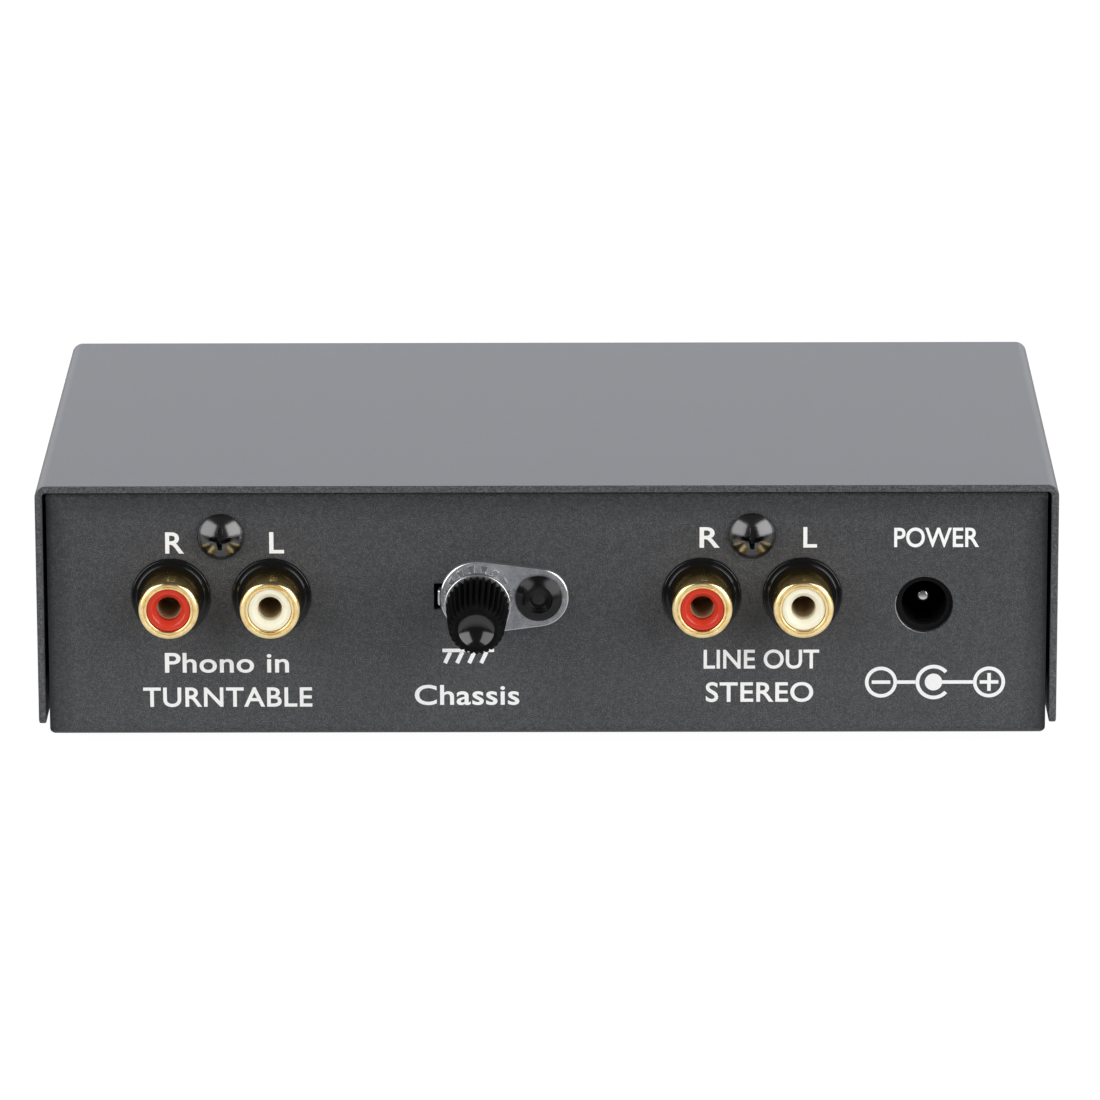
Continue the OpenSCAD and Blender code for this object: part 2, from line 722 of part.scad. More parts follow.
module board_standoffs() {
    color(nickel) in_case()
        for (place = standoff_places)
            translate([place[0], place[1], 0]) difference() {
                union() {
                    translate([0, 0, chassis_sheet])
                        cylinder(r = standoff_flats / sqrt(3), h = board_under - chassis_sheet,
                            $fn = 6);
                    cylinder(r = standoff_shank_r, h = 2 * chassis_sheet);
                }
                translate([0, 0, board_top - board_screw_l - cut])
                    cylinder(r = screw_hole_r, h = board_screw_l + cut);
            }
}

module board_screws() {
    color(nickel) in_case()
        for (place = standoff_places)
            translate([place[0], place[1], board_top])
                cross_screw(board_head_r, board_head_h, board_head_h / 3, board_screw_l);
}

// ---------- Phono jacks ----------

// Black moulding that carries one pair of jacks and takes the fixing screw in its tower.
module jack_body(x) {
    half_w = jack_pitch / 2 + jack_margin;
    floor_y = board_top - axis_z;
    tower_top = jack_screw_rise + screw_r + 1.8;
    color(gloss_black) on_rear(x, axis_z) difference() {
        union() {
            block([-half_w, floor_y, -chassis_sheet - jack_depth],
                [half_w, jack_margin, -chassis_sheet]);
            block([-tower_w / 2, 0, -chassis_sheet - jack_depth],
                [tower_w / 2, tower_top, -chassis_sheet]);
            for (side = [-1, 1]) translate([side * jack_pitch / 2, 0, 0]) {
                translate([0, 0, -chassis_sheet - cut])
                    cylinder(r = collar_r, h = chassis_sheet + cut + collar_reach);
                cylinder(r = collar_step_r, h = collar_face);
            }
        }
        for (side = [-1, 1]) translate([side * jack_pitch / 2, 0, 0]) {
            translate([0, 0, -chassis_sheet - jack_depth + jack_back])
                cylinder(r = shell_seat_r + seat_gap,
                    h = jack_depth + chassis_sheet + shell_reach);
            // Slots for the shell's leg and the contact's leg
            for (leg_y = [-shell_leg_drop, 0])
                block([-leg_w / 2 - seat_gap, leg_y - leg_t / 2 - seat_gap,
                        -chassis_sheet - jack_depth - cut],
                    [leg_w / 2 + seat_gap, leg_y + leg_t / 2 + seat_gap, -chassis_sheet]);
        }
        translate([0, jack_screw_rise, -chassis_sheet - jack_screw_l])
            cylinder(r = screw_hole_r, h = jack_screw_l + cut);
    }
}

// Distance from a jack's axis down to the leg of its shell
shell_leg_drop = (shell_seat_r + shell_bore_r) / 2;
// End of the shell, insulator and contact inside the jack body
jack_seat = chassis_sheet + jack_depth - jack_back;
// Front face of the collar, on which the shell's shoulder stands
collar_face = collar_reach + collar_step;

module input_jack_body() {
    jack_body(input_x);
}

module output_jack_body() {
    jack_body(output_x);
}

// Gold-plated tube with a rounded lip, a ring turned in its face, a shoulder that stands on
// the collar and a leg to the board.
module jack_shell(x) {
    color(gold) {
        on_rear(x, axis_z) difference() {
            union() {
                translate([0, 0, -jack_seat])
                    cylinder(r = shell_seat_r, h = jack_seat + shell_reach - shell_lip);
                translate([0, 0, collar_face])
                    cylinder(r = shell_r, h = shell_reach - shell_lip - collar_face);
                cylinder(r = shell_r - shell_lip, h = shell_reach);
                translate([0, 0, shell_reach - shell_lip])
                    rotate_extrude() translate([shell_r - shell_lip, 0]) circle(shell_lip);
            }
            translate([0, 0, -jack_seat - cut])
                cylinder(r = shell_bore_r, h = jack_seat + shell_reach + 2 * cut);
            tube(groove_r + groove_w / 2, groove_r - groove_w / 2,
                shell_reach - groove_depth, shell_reach + cut);
        }
        in_case()
            back_leg(x, face_y + jack_seat, shell_leg_y, axis_z - shell_leg_drop, leg_w, leg_t);
    }
}

module input_right_shell() {
    jack_shell(jack_places[0]);
}

module input_left_shell() {
    jack_shell(jack_places[1]);
}

module output_right_shell() {
    jack_shell(jack_places[2]);
}

module output_left_shell() {
    jack_shell(jack_places[3]);
}

// Coloured sleeve between the shell and the centre contact.
module jack_insulator(x, tint) {
    face = shell_reach - insulator_inset;
    pocket = shell_reach - contact_inset;
    color(tint) on_rear(x, axis_z) difference() {
        translate([0, 0, -jack_seat]) cylinder(r = shell_bore_r - seat_gap, h = jack_seat + face);
        translate([0, 0, face - entry_depth])
            cylinder(r1 = throat_r, r2 = entry_r, h = entry_depth);
        translate([0, 0, face - cut / 1000]) cylinder(r = entry_r, h = cut);
        translate([0, 0, pocket - cut]) cylinder(r = throat_r, h = face - pocket + cut);
        translate([0, 0, -jack_seat - cut])
            cylinder(r = contact_r + seat_gap, h = jack_seat + pocket + cut);
    }
}

module input_right_insulator() {
    jack_insulator(jack_places[0], jack_red);
}

module input_left_insulator() {
    jack_insulator(jack_places[1], jack_white);
}

module output_right_insulator() {
    jack_insulator(jack_places[2], jack_red);
}

module output_left_insulator() {
    jack_insulator(jack_places[3], jack_white);
}

// Tube that grips a plug's pin, with a closed back and a leg to the board.
module jack_contact(x) {
    mouth = shell_reach - contact_inset;
    color(gold) {
        on_rear(x, axis_z) difference() {
            translate([0, 0, -jack_seat]) cylinder(r = contact_r, h = jack_seat + mouth);
            translate([0, 0, mouth - contact_depth])
                cylinder(r = contact_bore_r, h = contact_depth + cut);
        }
        in_case() back_leg(x, face_y + jack_seat, contact_leg_y, axis_z, leg_w, leg_t);
    }
}

module input_right_contact() {
    jack_contact(jack_places[0]);
}

module input_left_contact() {
    jack_contact(jack_places[1]);
}

module output_right_contact() {
    jack_contact(jack_places[2]);
}

module output_left_contact() {
    jack_contact(jack_places[3]);
}

module jack_screws() {
    color(gloss_black)
        for (x = pair_places)
            on_rear(x, axis_z + jack_screw_rise)
                cross_screw(jack_head_r, jack_head_h, jack_head_h * 0.2, jack_screw_l);
}

// ---------- DC socket ----------

// Height of the spring contact's flat face below the bore's axis
spring_drop = dc_bore_r - dc_spring_rise + dc_spring_t;

module dc_socket_body() {
    back = -chassis_sheet - dc_body_d;
    color(gloss_black) on_rear(dc_x, dc_z) difference() {
        block([-dc_body_w / 2, board_top - dc_z, back],
            [dc_body_w / 2, dc_body_rise, -chassis_sheet]);
        translate([0, 0, -chassis_sheet - dc_bore_depth])
            cylinder(r = dc_bore_r, h = dc_bore_depth + cut);
        translate([0, 0, back - cut])
            cylinder(r = dc_root_r + seat_gap, h = dc_body_d);
        block([-dc_spring_w / 2 - seat_gap, -spring_drop, back - cut],
            [dc_spring_w / 2 + seat_gap, -spring_drop + dc_spring_t + seat_gap,
                -chassis_sheet - dc_spring_inset]);
    }
}

module dc_centre_pin() {
    tip = -dc_pin_inset;
    back = -chassis_sheet - dc_body_d;
    color(nickel) {
        on_rear(dc_x, dc_z) {
            translate([0, 0, back])
                cylinder(r = dc_root_r, h = dc_body_d - dc_bore_depth);
            translate([0, 0, back]) cylinder(r = dc_pin_r, h = tip - dc_pin_r - back);
            translate([0, 0, tip - dc_pin_r]) sphere(dc_pin_r);
        }
        in_case() back_leg(dc_x, dc_back_y, dc_pin_leg_y, dc_z, leg_w, leg_t);
    }
}

module dc_spring_contact() {
    z = dc_z - spring_drop + dc_spring_t / 2;
    color(tinned) in_case() {
        block([dc_x - dc_spring_w / 2, rear_inner_y + dc_spring_inset, z - dc_spring_t / 2],
            [dc_x + dc_spring_w / 2, dc_back_y, z + dc_spring_t / 2]);
        back_leg(dc_x, dc_back_y, dc_spring_leg_y, z, leg_w, dc_spring_t);
    }
}

// ---------- Ground terminal ----------

// Outline of two circles joined by their outer tangents.
module teardrop(r1, r2, distance) {
    turn = acos((r1 - r2) / distance);
    circle(r1);
    translate([distance, 0]) circle(r2);
    polygon([
        r1 * [cos(turn), sin(turn)], r1 * [cos(turn), -sin(turn)],
        [distance, 0] + r2 * [cos(turn), -sin(turn)], [distance, 0] + r2 * [cos(turn), sin(turn)]
    ]);
}

module ground_plate() {
    color(nickel) on_rear(ground_x, axis_z) difference() {
        union() {
            linear_extrude(plate_t) teardrop(plate_stud_r, plate_rivet_r, rivet_pitch);
            block([-plate_stud_r, -plate_tab_w / 2, -chassis_sheet - plate_t],
                [-plate_stud_r + plate_t, plate_tab_w / 2, plate_t]);
        }
        translate([0, 0, -cut]) cylinder(r = stud_r + hole_gap, h = plate_t + 2 * cut);
        translate([rivet_pitch, 0, -cut]) cylinder(r = rivet_r + seat_gap, h = plate_t + 2 * cut);
    }
}

// Blind rivet: a domed head with a dish, and the bulb that its mandrel drew up.
module ground_rivet() {
    color(gloss_black) on_rear(ground_x + rivet_pitch, axis_z) difference() {
        union() {
            translate([0, 0, plate_t]) domed_head(rivet_head_r, rivet_head_h, rivet_head_h * 0.2);
            translate([0, 0, -chassis_sheet - rivet_bulb_l])
                cylinder(r = rivet_r, h = chassis_sheet + rivet_bulb_l + plate_t + rivet_head_h / 2);
            translate([0, 0, -chassis_sheet - rivet_bulb_l])
                cylinder(r = rivet_bulb_r, h = rivet_bulb_l);
        }
        translate([0, 0, -chassis_sheet - rivet_bulb_l - cut])
            cylinder(r = mandrel_r + seat_gap,
                h = rivet_bulb_l + chassis_sheet + plate_t + rivet_head_h + 2 * cut);
        translate([0, 0, plate_t + rivet_head_h - rivet_dish])
            cylinder(r1 = rivet_r * 0.8, r2 = rivet_r * 1.3, h = rivet_dish + cut / 10);
    }
}

module rivet_mandrel() {
    tail = chassis_sheet + rivet_bulb_l;
    color(matt_black) on_rear(ground_x + rivet_pitch, axis_z) {
        translate([0, 0, -tail]) cylinder(r = mandrel_r, h = tail + plate_t + 0.3);
        translate([0, 0, -tail - mandrel_head])
            cylinder(r = mandrel_r + mandrel_head / 2, h = mandrel_head);
    }
}

module ground_stud() {
    color(nickel) on_rear(ground_x, axis_z) {
        translate([0, 0, tag_z]) cylinder(r = stud_r, h = stud_reach - tag_z - stud_chamfer);
        translate([0, 0, stud_reach - stud_chamfer])
            cylinder(r1 = stud_r, r2 = stud_r - stud_chamfer, h = stud_chamfer);
        translate([0, 0, tag_z]) rotate([180, 0, 0])
            difference() {
                domed_head(stud_head_r, stud_head_h, stud_head_h / 3);
                cross_recess(stud_head_r * 0.55, stud_head_r * 0.2, stud_head_h, 1.6);
            }
    }
}

// Solder tag under the stud's head, with a tail that goes down through the board.
module ground_tag() {
    knee_z = board_top + tag_knee;
    outer_y = face_y - tag_z;
    tail_top = axis_z - (tag_r + stud_r) / 2;
    color(tinned) {
        on_rear(ground_x, axis_z) tube(tag_r, stud_r + hole_gap, tag_z, -chassis_sheet);
        in_case() {
            block([ground_x - tag_w / 2, rear_inner_y, knee_z],
                [ground_x + tag_w / 2, outer_y, tail_top]);
            block([ground_x - tag_w / 2, rear_inner_y, knee_z],
                [ground_x + tag_w / 2, tag_leg_y + tag_t / 2, knee_z + tag_t]);
            block([ground_x - tag_w / 2, tag_leg_y - tag_t / 2, board_under - lead_tail],
                [ground_x + tag_w / 2, tag_leg_y + tag_t / 2, knee_z + tag_t]);
        }
    }
}

module ground_tooth_washer() {
    notch_w = PI * tooth_washer_r / washer_teeth;
    color(nickel) on_rear(ground_x, axis_z) difference() {
        tube(tooth_washer_r, stud_r + hole_gap, tooth_washer_z, tooth_washer_z + tooth_washer_t);
        for (n = [0 : washer_teeth - 1])
            rotate(n * 360 / washer_teeth)
                translate([tooth_washer_r - tooth_l, -notch_w / 2, tooth_washer_z - cut])
                    cube([tooth_l + cut, notch_w, tooth_washer_t + 2 * cut]);
    }
}

module ground_hex_nut() {
    corner_r = hex_flats / sqrt(3);
    face_r = hex_flats / 2 - 0.1;
    rim_r = corner_r + 0.2;
    color(nickel) on_rear(ground_x, axis_z) translate([0, 0, hex_z]) difference() {
        intersection() {
            rotate(10) cylinder(r = corner_r, h = hex_h, $fn = 6);
            rotate_extrude()
                polygon([
                    [0, -cut], [rim_r, -cut], [rim_r, hex_h - (rim_r - face_r) * 0.6],
                    [face_r, hex_h], [face_r, hex_h + cut], [0, hex_h + cut]
                ]);
        }
        translate([0, 0, -cut]) cylinder(r = stud_r + thread_gap, h = hex_h + 2 * cut);
    }
}

module sliding_washer() {
    color(nickel) on_rear(ground_x, axis_z)
        tube(slide_washer_r, spigot_r + running_gap, slide_washer_z, nut_z);
}

// Metal thread of the thumb nut: a sleeve in the cap and a spigot in the washer.
module thumb_nut_insert() {
    spigot_end = slide_washer_z + 0.1;
    color(nickel) on_rear(ground_x, axis_z) difference() {
        union() {
            translate([0, 0, nut_z]) cylinder(r = insert_r, h = insert_l);
            translate([0, 0, spigot_end]) cylinder(r = spigot_r, h = nut_z + 1 - spigot_end);
        }
        translate([0, 0, slide_washer_z])
            cylinder(r = stud_r + running_gap, h = nut_z + insert_l + cut - slide_washer_z);
    }
}

// Profile of the thumb nut over its knurl, with z along the axis.
module nut_profile() {
    shoulder_z = nut_l - nut_shoulder;
    polygon([
        [0, 0], [nut_base_r - 0.15, 0], [nut_base_r, 0.3],
        [nut_shoulder_r, shoulder_z],
        [(nut_shoulder_r * 2 + nut_tip_r) / 3, nut_l - nut_shoulder * 0.35],
        [nut_tip_r, nut_l], [0, nut_l]
    ]);
}

module thumb_nut_cap() {
    dish_sphere = (dish_r * dish_r + dish_depth * dish_depth) / (2 * dish_depth);
    slope = atan((nut_base_r - nut_shoulder_r) / (nut_l - nut_shoulder));
    groove_half = PI * nut_base_r / knurl_count * 0.5;
    color(matt_black) on_rear(ground_x, axis_z) translate([0, 0, nut_z]) difference() {
        rotate_extrude() nut_profile();
        translate([0, 0, -cut]) cylinder(r = insert_r + seat_gap, h = insert_l + cut);
        translate([0, 0, insert_l - cut])
            cylinder(r = stud_r + 2 * running_gap, h = stud_reach - nut_z - insert_l + cut + 0.6);
        translate([0, 0, nut_l - dish_depth + dish_sphere]) sphere(dish_sphere, $fn = 96);
        for (n = [0 : knurl_count - 1])
            rotate(n * 360 / knurl_count)
                translate([nut_base_r - knurl_depth, 0, 0]) rotate([0, -slope, 0])
                    translate([0, 0, -cut])
                        linear_extrude(nut_l + 2 * cut)
                            polygon([[0, 0], [1, groove_half / knurl_depth],
                                [1, -groove_half / knurl_depth]]);
    }
}

// ---------- Power lamp ----------

module power_lamp() {
    color(jack_red) in_case() translate([lamp_x, front_inner_y, lamp_z]) rotate([-90, 0, 0]) {
        straight = chassis_sheet + lamp_reach - lamp_r;
        translate([0, 0, -lamp_flange_t]) cylinder(r = lamp_flange_r, h = lamp_flange_t);
        cylinder(r = lamp_r, h = straight);
        translate([0, 0, straight]) sphere(lamp_r);
    }
}

// Two leads that run back from the lamp, spread sideways and go down through the board.
module lamp_leads() {
    half = lamp_lead_w / 2;
    color(tinned) in_case()
        for (place = lamp_lead_places) {
            inner_x = (lamp_x + place[0]) / 2;
            block([inner_x - half, lamp_lead_y - half, lamp_z - half],
                [inner_x + half, front_inner_y - lamp_flange_t, lamp_z + half]);
            block([min(inner_x, place[0]) - half, lamp_lead_y - half, lamp_z - half],
                [max(inner_x, place[0]) + half, lamp_lead_y + half, lamp_z + half]);
            lead(place, lamp_z);
        }
}

// ---------- Components ----------

module op_amps() {
    notch_r = 0.8;
    color(matt_black) in_case()
        for (place = op_amp_places)
            translate([place[0], place[1], board_top + op_amp_lift]) difference() {
                translate([-op_amp_size[0] / 2, -op_amp_size[1] / 2, 0]) cube(op_amp_size);
                translate([-op_amp_size[0] / 2, 0, op_amp_size[2] - 0.5])
                    cylinder(r = notch_r, h = 1);
            }
}

module op_amp_leads() {
    seat = op_amp_size[1] / 2;
    shoulder_z = board_top + op_amp_lift + op_amp_size[2] / 2;
    color(tinned) in_case()
        for (place = op_amp_places, n = [-1.5 : 1.5], side = [-1, 1]) {
            x = place[0] + n * op_amp_pitch;
            foot_y = place[1] + side * op_amp_rows / 2;
            body_y = place[1] + side * seat;
            block([x - lead_r, min(body_y, foot_y) - (side < 0 ? lead_r : 0), shoulder_z - 0.25],
                [x + lead_r, max(body_y, foot_y) + (side > 0 ? lead_r : 0), shoulder_z]);
            lead([x, foot_y], shoulder_z - 0.1);
        }
}

module film_capacitors() {
    color([0.62, 0.16, 0.12]) in_case()
        for (place = film_places)
            translate([place[0] - film_size[0] / 2, place[1] - film_size[1] / 2, board_top])
                cube(film_size);
}

// Aluminium can in a printed sleeve, with a groove rolled near its base.
module round_capacitor(place, r, h) {
    translate([place[0], place[1], board_top]) difference() {
        cylinder(r = r, h = h);
        translate([0, 0, can_groove_z])
            rotate_extrude() translate([r + can_groove_r / 3, 0]) circle(can_groove_r);
    }
}

module coupling_capacitors() {
    color([0.10, 0.12, 0.22]) in_case()
        for (place = coupling_places) round_capacitor(place, coupling_r, coupling_h);
}

module supply_capacitors() {
    color([0.10, 0.12, 0.22]) in_case()
        for (place = supply_places) round_capacitor(place, supply_r, supply_h);
}

module capacitor_leads() {
    color(tinned) in_case()
        for (place = capacitor_lead_places) lead(place, board_top);
}

module voltage_regulator() {
    low = board_top + regulator_lift;
    high = low + regulator_size[2];
    x0 = regulator_place[0] - regulator_size[0] / 2;
    x1 = regulator_place[0] + regulator_size[0] / 2;
    y0 = regulator_place[1] - regulator_size[1] / 2;
    y1 = regulator_place[1] + regulator_size[1] / 2;
    color(matt_black) in_case() difference() {
        union() {
            block([x0, y0, low], [x1, y1, high]);
            block([x0, y1 - regulator_tab_t, high], [x1, y1, high + regulator_tab_h]);
        }
        translate([regulator_place[0], y0, high + regulator_tab_h / 2])
            rotate([-90, 0, 0]) cylinder(r = 1.8, h = regulator_size[1] + cut);
    }
}

module regulator_leads() {
    color(tinned) in_case()
        for (place = regulator_lead_places) lead(place, board_top + regulator_lift);
}

// Body of a two-lead part that lies on the board along X.
module axial_body(place, r, length) {
    translate([place[0] - length / 2, place[1], board_top + r])
        rotate([0, 90, 0]) cylinder(r = r, h = length);
}

// The two bent leads of such a part.
module axial_leads(place, r, length) {
    z = board_top + r;
    for (side = [-1, 1]) {
        end_x = place[0] + side * length / 2;
        foot_x = place[0] + side * resistor_pitch / 2;
        translate([min(end_x, foot_x), place[1], z])
            rotate([0, 90, 0]) cylinder(r = lead_r, h = abs(foot_x - end_x), $fn = 24);
        translate([foot_x, place[1], z]) sphere(lead_r, $fn = 24);
        lead([foot_x, place[1]], z);
    }
}

module resistors() {
    color([0.35, 0.56, 0.72]) in_case()
        for (place = resistor_places) axial_body(place, resistor_r, resistor_l);
}

module resistor_leads() {
    color(tinned) in_case()
        for (place = resistor_places) axial_leads(place, resistor_r, resistor_l);
}

module supply_diode() {
    color(matt_black) in_case() {
        axial_body(diode_place, diode_r, diode_l);
        axial_leads(diode_place, diode_r, diode_l);
    }
}

chassis();
cover();
cover_screws();
rubber_feet();
circuit_board();
board_standoffs();
board_screws();
input_jack_body();
output_jack_body();
jack_screws();
input_right_shell();
input_left_shell();
output_right_shell();
output_left_shell();
input_right_insulator();
input_left_insulator();
output_right_insulator();
output_left_insulator();
input_right_contact();
input_left_contact();
output_right_contact();
output_left_contact();
dc_socket_body();
dc_centre_pin();
dc_spring_contact();
ground_plate();
ground_rivet();
rivet_mandrel();
ground_stud();
ground_tag();
ground_tooth_washer();
ground_hex_nut();
sliding_washer();
thumb_nut_insert();
thumb_nut_cap();
power_lamp();
lamp_leads();
op_amps();
op_amp_leads();
film_capacitors();
coupling_capacitors();
supply_capacitors();
capacitor_leads();
voltage_regulator();
regulator_leads();
resistors();
resistor_leads();
supply_diode();
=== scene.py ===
"""Looks of a two-channel phono preamplifier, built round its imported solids.

The connectors face -Y, Z is up and the feet stand on z = 0. Blender works in metres, and MM
turns the millimetres below into them.
"""

from math import acos, asin, atan2, cos, hypot, pi, radians, sin, tan

import bpy
from mathutils import Matrix, Vector


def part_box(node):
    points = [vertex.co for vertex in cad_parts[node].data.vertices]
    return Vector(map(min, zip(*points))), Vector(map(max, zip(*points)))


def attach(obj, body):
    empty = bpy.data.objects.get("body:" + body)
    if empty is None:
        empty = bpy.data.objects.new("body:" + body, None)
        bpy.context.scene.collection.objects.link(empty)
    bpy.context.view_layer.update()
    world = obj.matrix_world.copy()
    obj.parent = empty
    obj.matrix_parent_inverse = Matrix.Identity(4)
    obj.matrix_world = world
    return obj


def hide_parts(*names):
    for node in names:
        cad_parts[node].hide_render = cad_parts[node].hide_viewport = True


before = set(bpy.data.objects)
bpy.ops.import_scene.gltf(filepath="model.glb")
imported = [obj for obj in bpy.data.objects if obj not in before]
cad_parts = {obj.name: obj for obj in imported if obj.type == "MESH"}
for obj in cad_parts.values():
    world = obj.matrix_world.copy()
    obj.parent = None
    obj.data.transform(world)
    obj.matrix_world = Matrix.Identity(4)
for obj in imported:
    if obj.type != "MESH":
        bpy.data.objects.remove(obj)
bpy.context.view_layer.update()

MM = 0.001
X, Y, Z = Vector((1, 0, 0)), Vector((0, 1, 0)), Vector((0, 0, 1))
OUT = -Y  # the way that the connectors face

# ---------- Sizes in millimetres, as the solids have them ----------

CASE_W, CASE_TOP = 142, 38
CASE_REAR = -34.6  # the cover's rear edge
COVER_SHEET = 1
PANEL_Y = -34  # outer face of the rear panel
SHEET = 1
FRONT_FROM = 48.7  # of the chassis, only the front panel lies beyond this
SHADE_REACH = 4.2  # how far the painted shade reaches onto the panel from the cover set round it
ON_PLANE = 0.2  # a face this near to a plane counts as part of it

FOOT_R, FOOT_H = 5, 2
COVER_SCREW_Z, COVER_SCREW_R = 9.6, 2.8
SCREW_R, SCREW_HOLE_R = 1.45, 1.5
SLOT_ABOVE = 0.2  # a cutter starts this far above what it cuts

JACK_X = {"input_right": -52.3, "input_left": -38.3, "output_right": 21.5, "output_left": 35.5}
PAIR_X = {"input": -45.3, "output": 28.5}
PAIR_SHIFT = (PAIR_X["output"] - PAIR_X["input"], 0, 0)
AXIS_Z = 22
JACK_PITCH = 14
SHELL_R, SHELL_SEAT_R, SHELL_BORE_R = 4.15, 3.95, 3.05
SHELL_REACH = 7.4
SHELL_LIP = 0.62
RIM_DEPTH = 0.6  # the satin part of a shell's front end
RING_R, RING_W, RING_DEPTH = 3.41, 0.16, 0.15  # line turned in a shell's face
SLEEVE_R, SLEEVE_REACH = 3.03, 7.1
SLEEVE_MOUTH_R, SLEEVE_THROAT_R, SLEEVE_THROAT_REACH = 2.32, 1.68, 6.3
CONTACT_R, CONTACT_FACE = 2.02, 5.2
JACK_DEPTH, JACK_BACK = 9.6, 1.4
SEAT = SHEET + JACK_DEPTH - JACK_BACK
COLLAR_R, COLLAR_REACH = 5.45, 0.45
COLLAR_STEP_R, COLLAR_FACE = 4.85, 0.75
JACK_MARGIN = 5.8
JACK_FLOOR = -8.4
TOWER_W, TOWER_TOP = 8, 11.95
JACK_SCREW_RISE, JACK_SCREW_L = 8.7, 8
LEAD_END = 10.8
LEG_W, LEG_T = 1.6, 0.4
LEG_BEND, LEG_INNER_BEND = 0.6, 0.2
SHELL_LEG_DROP, SHELL_LEG_Y, LEG_START_Y = 3.5, -22.65, -24.8

DC_X, DC_Z = 52.5, 20.7
DC_HOLE_R = 3.98
DC_PIN_R, DC_PIN_TIP, DC_PIN_FOOT_R = 1, -4.6, 1.4
DC_PIN_BACK, DC_PIN_STEP = -14.5, -10.8

STUD_X = -9.6
RIVET_PITCH = 8.45
PLATE_T = 0.9
PLATE_STUD_R, PLATE_RIVET_R = 5.3, 4.2
STUD_HOLE_R, RIVET_HOLE_R = 2.15, 1.62
TAB_W = 2.2
RIVET_HEAD_R, RIVET_TOP, RIVET_RIM = 3.25, 2.4, 0.3
RIVET_R, RIVET_BORE_R = 1.6, 0.92
RIVET_BULB_R, RIVET_END = 2.4, -3.2
WASHER_LOW, NUT_LOW = 4.6, 5.4
WASHER_R, WASHER_BORE_R = 4.6, 2.68
NUT_L = 12
NUT_BASE_R, NUT_SHOULDER_R, NUT_TIP_R = 4.4, 3.9, 3.1
NUT_SHOULDER = 1.7
INSERT_R, INSERT_L = 3.02, 7
STUD_BORE_R, STUD_BORE_L = 2.11, 7.6
DISH_R, DISH_DEPTH = 2.48, 1
TEETH, TOOTH_FACETS = 30, 8
KNURL_DEPTH = 0.58

LAMP_R, LAMP_FLANGE_R, LAMP_FLANGE_T = 1.5, 1.95, 1

FACETS = 128  # round pieces have this many sides
CUT = 1  # a hole's cutter stands out this much at its open end

# ---------- Shader nodes ----------


def grey(level, tint=(1, 1, 1)):
    """Opaque grey of a level, or a tinted one."""
    return (level * tint[0], level * tint[1], level * tint[2], 1)


class Level:
    """What a node gives. Operators on it add Math nodes."""

    def __init__(self, nodes, socket):
        self.nodes, self.socket = nodes, socket

    def math(self, operation, first, second):
        return self.nodes.node("Math", {"operation": operation}, {0: first, 1: second})

    def __add__(self, other):
        return self.math("ADD", self, other)

    def __sub__(self, other):
        return self.math("SUBTRACT", self, other)

    def __rsub__(self, other):
        return self.math("SUBTRACT", other, self)

    def __mul__(self, other):
        return self.math("MULTIPLY", self, other)

    __radd__, __rmul__ = __add__, __mul__


class Nodes:
    """An emptied node tree. Its nodes all come from one method."""

    def __init__(self, tree):
        self.tree = tree
        tree.nodes.clear()

    def node(self, kind, settings=None, sockets=None, out=0):
        """Adds a node with its settings, and with numbers or levels in its sockets."""
        made = self.tree.nodes.new("ShaderNode" + kind)
        for name, value in (settings or {}).items():
            if name == "stops":
                ramp = made.color_ramp.elements
                while len(ramp) < len(value):
                    ramp.new(0.5)
                for element, (position, level) in zip(ramp, value):
                    element.position, element.color = position, grey(level)
            else:
                setattr(made, name, value)
        for name, value in (sockets or {}).items():
            if isinstance(value, Level):
                self.tree.links.new(value.socket, made.inputs[name])
            else:
                made.inputs[name].default_value = value
        return Level(self, made.outputs[out]) if made.outputs else made

    def steps(self, level, *stops):
        """Level sent through a ramp of (position, grey) stops."""
        return self.node("ValToRGB", {"stops": stops}, {0: level})


class Finish(Nodes):
    """A material with one Principled shader. Its constants are set on the shader's own sockets."""

    def __init__(self, name, **constants):
        self.material = bpy.data.materials.new(name)
        self.material.use_nodes = True
        super().__init__(self.material.node_tree)
        sockets = {socket.replace("_", " "): value for socket, value in constants.items()}
        surface = self.node("BsdfPrincipled", sockets=sockets)
        self.shader = surface.socket.node
        self.node("OutputMaterial", sockets={0: surface})
        self.place = self.node("TexCoord", out="Object")

    def noise(self, per_mm, detail, stretch=None):
        """Grain with about this many specks a millimetre, from 0 to 1."""
        place = self.place
        if stretch:
            place = self.node("Mapping", sockets={"Vector": place, "Scale": stretch})
        sockets = {"Vector": place, "Scale": per_mm / MM, "Detail": detail}
        return self.node("TexNoise", sockets=sockets)

    def blend(self, factor, first, second):
        """Colour between two, where factor is 0 and 1."""
        sockets = {0: factor, 6: first, 7: second}
        return self.node("Mix", {"data_type": "RGBA"}, sockets, out=2)

    def feed(self, socket, level):
        self.tree.links.new(level.socket, self.shader.inputs[socket])

    def bump(self, height, depth_mm, strength):
        sockets = {"Height": height, "Distance": depth_mm * MM, "Strength": strength}
        self.feed("Normal", self.node("Bump", sockets=sockets))


# ---------- Camera, light and stage ----------

CAMERA_PLACE = Vector((5.339, -1083.67, 310.82)) * MM
CAMERA_LENS, CAMERA_SENSOR = 256.2, 36
CAMERA_YAW, CAMERA_PITCH, CAMERA_ROLL = radians(0.2676), radians(15.046), radians(-0.1691)
BOX_LEVEL = 2.55  # brightness of the left soft box: the right one is brighter
ROOM_LEVEL = 0.08  # brightness of the room round them
BACKDROP_LEVEL = 1.31  # brightness of the white backdrop's lamp
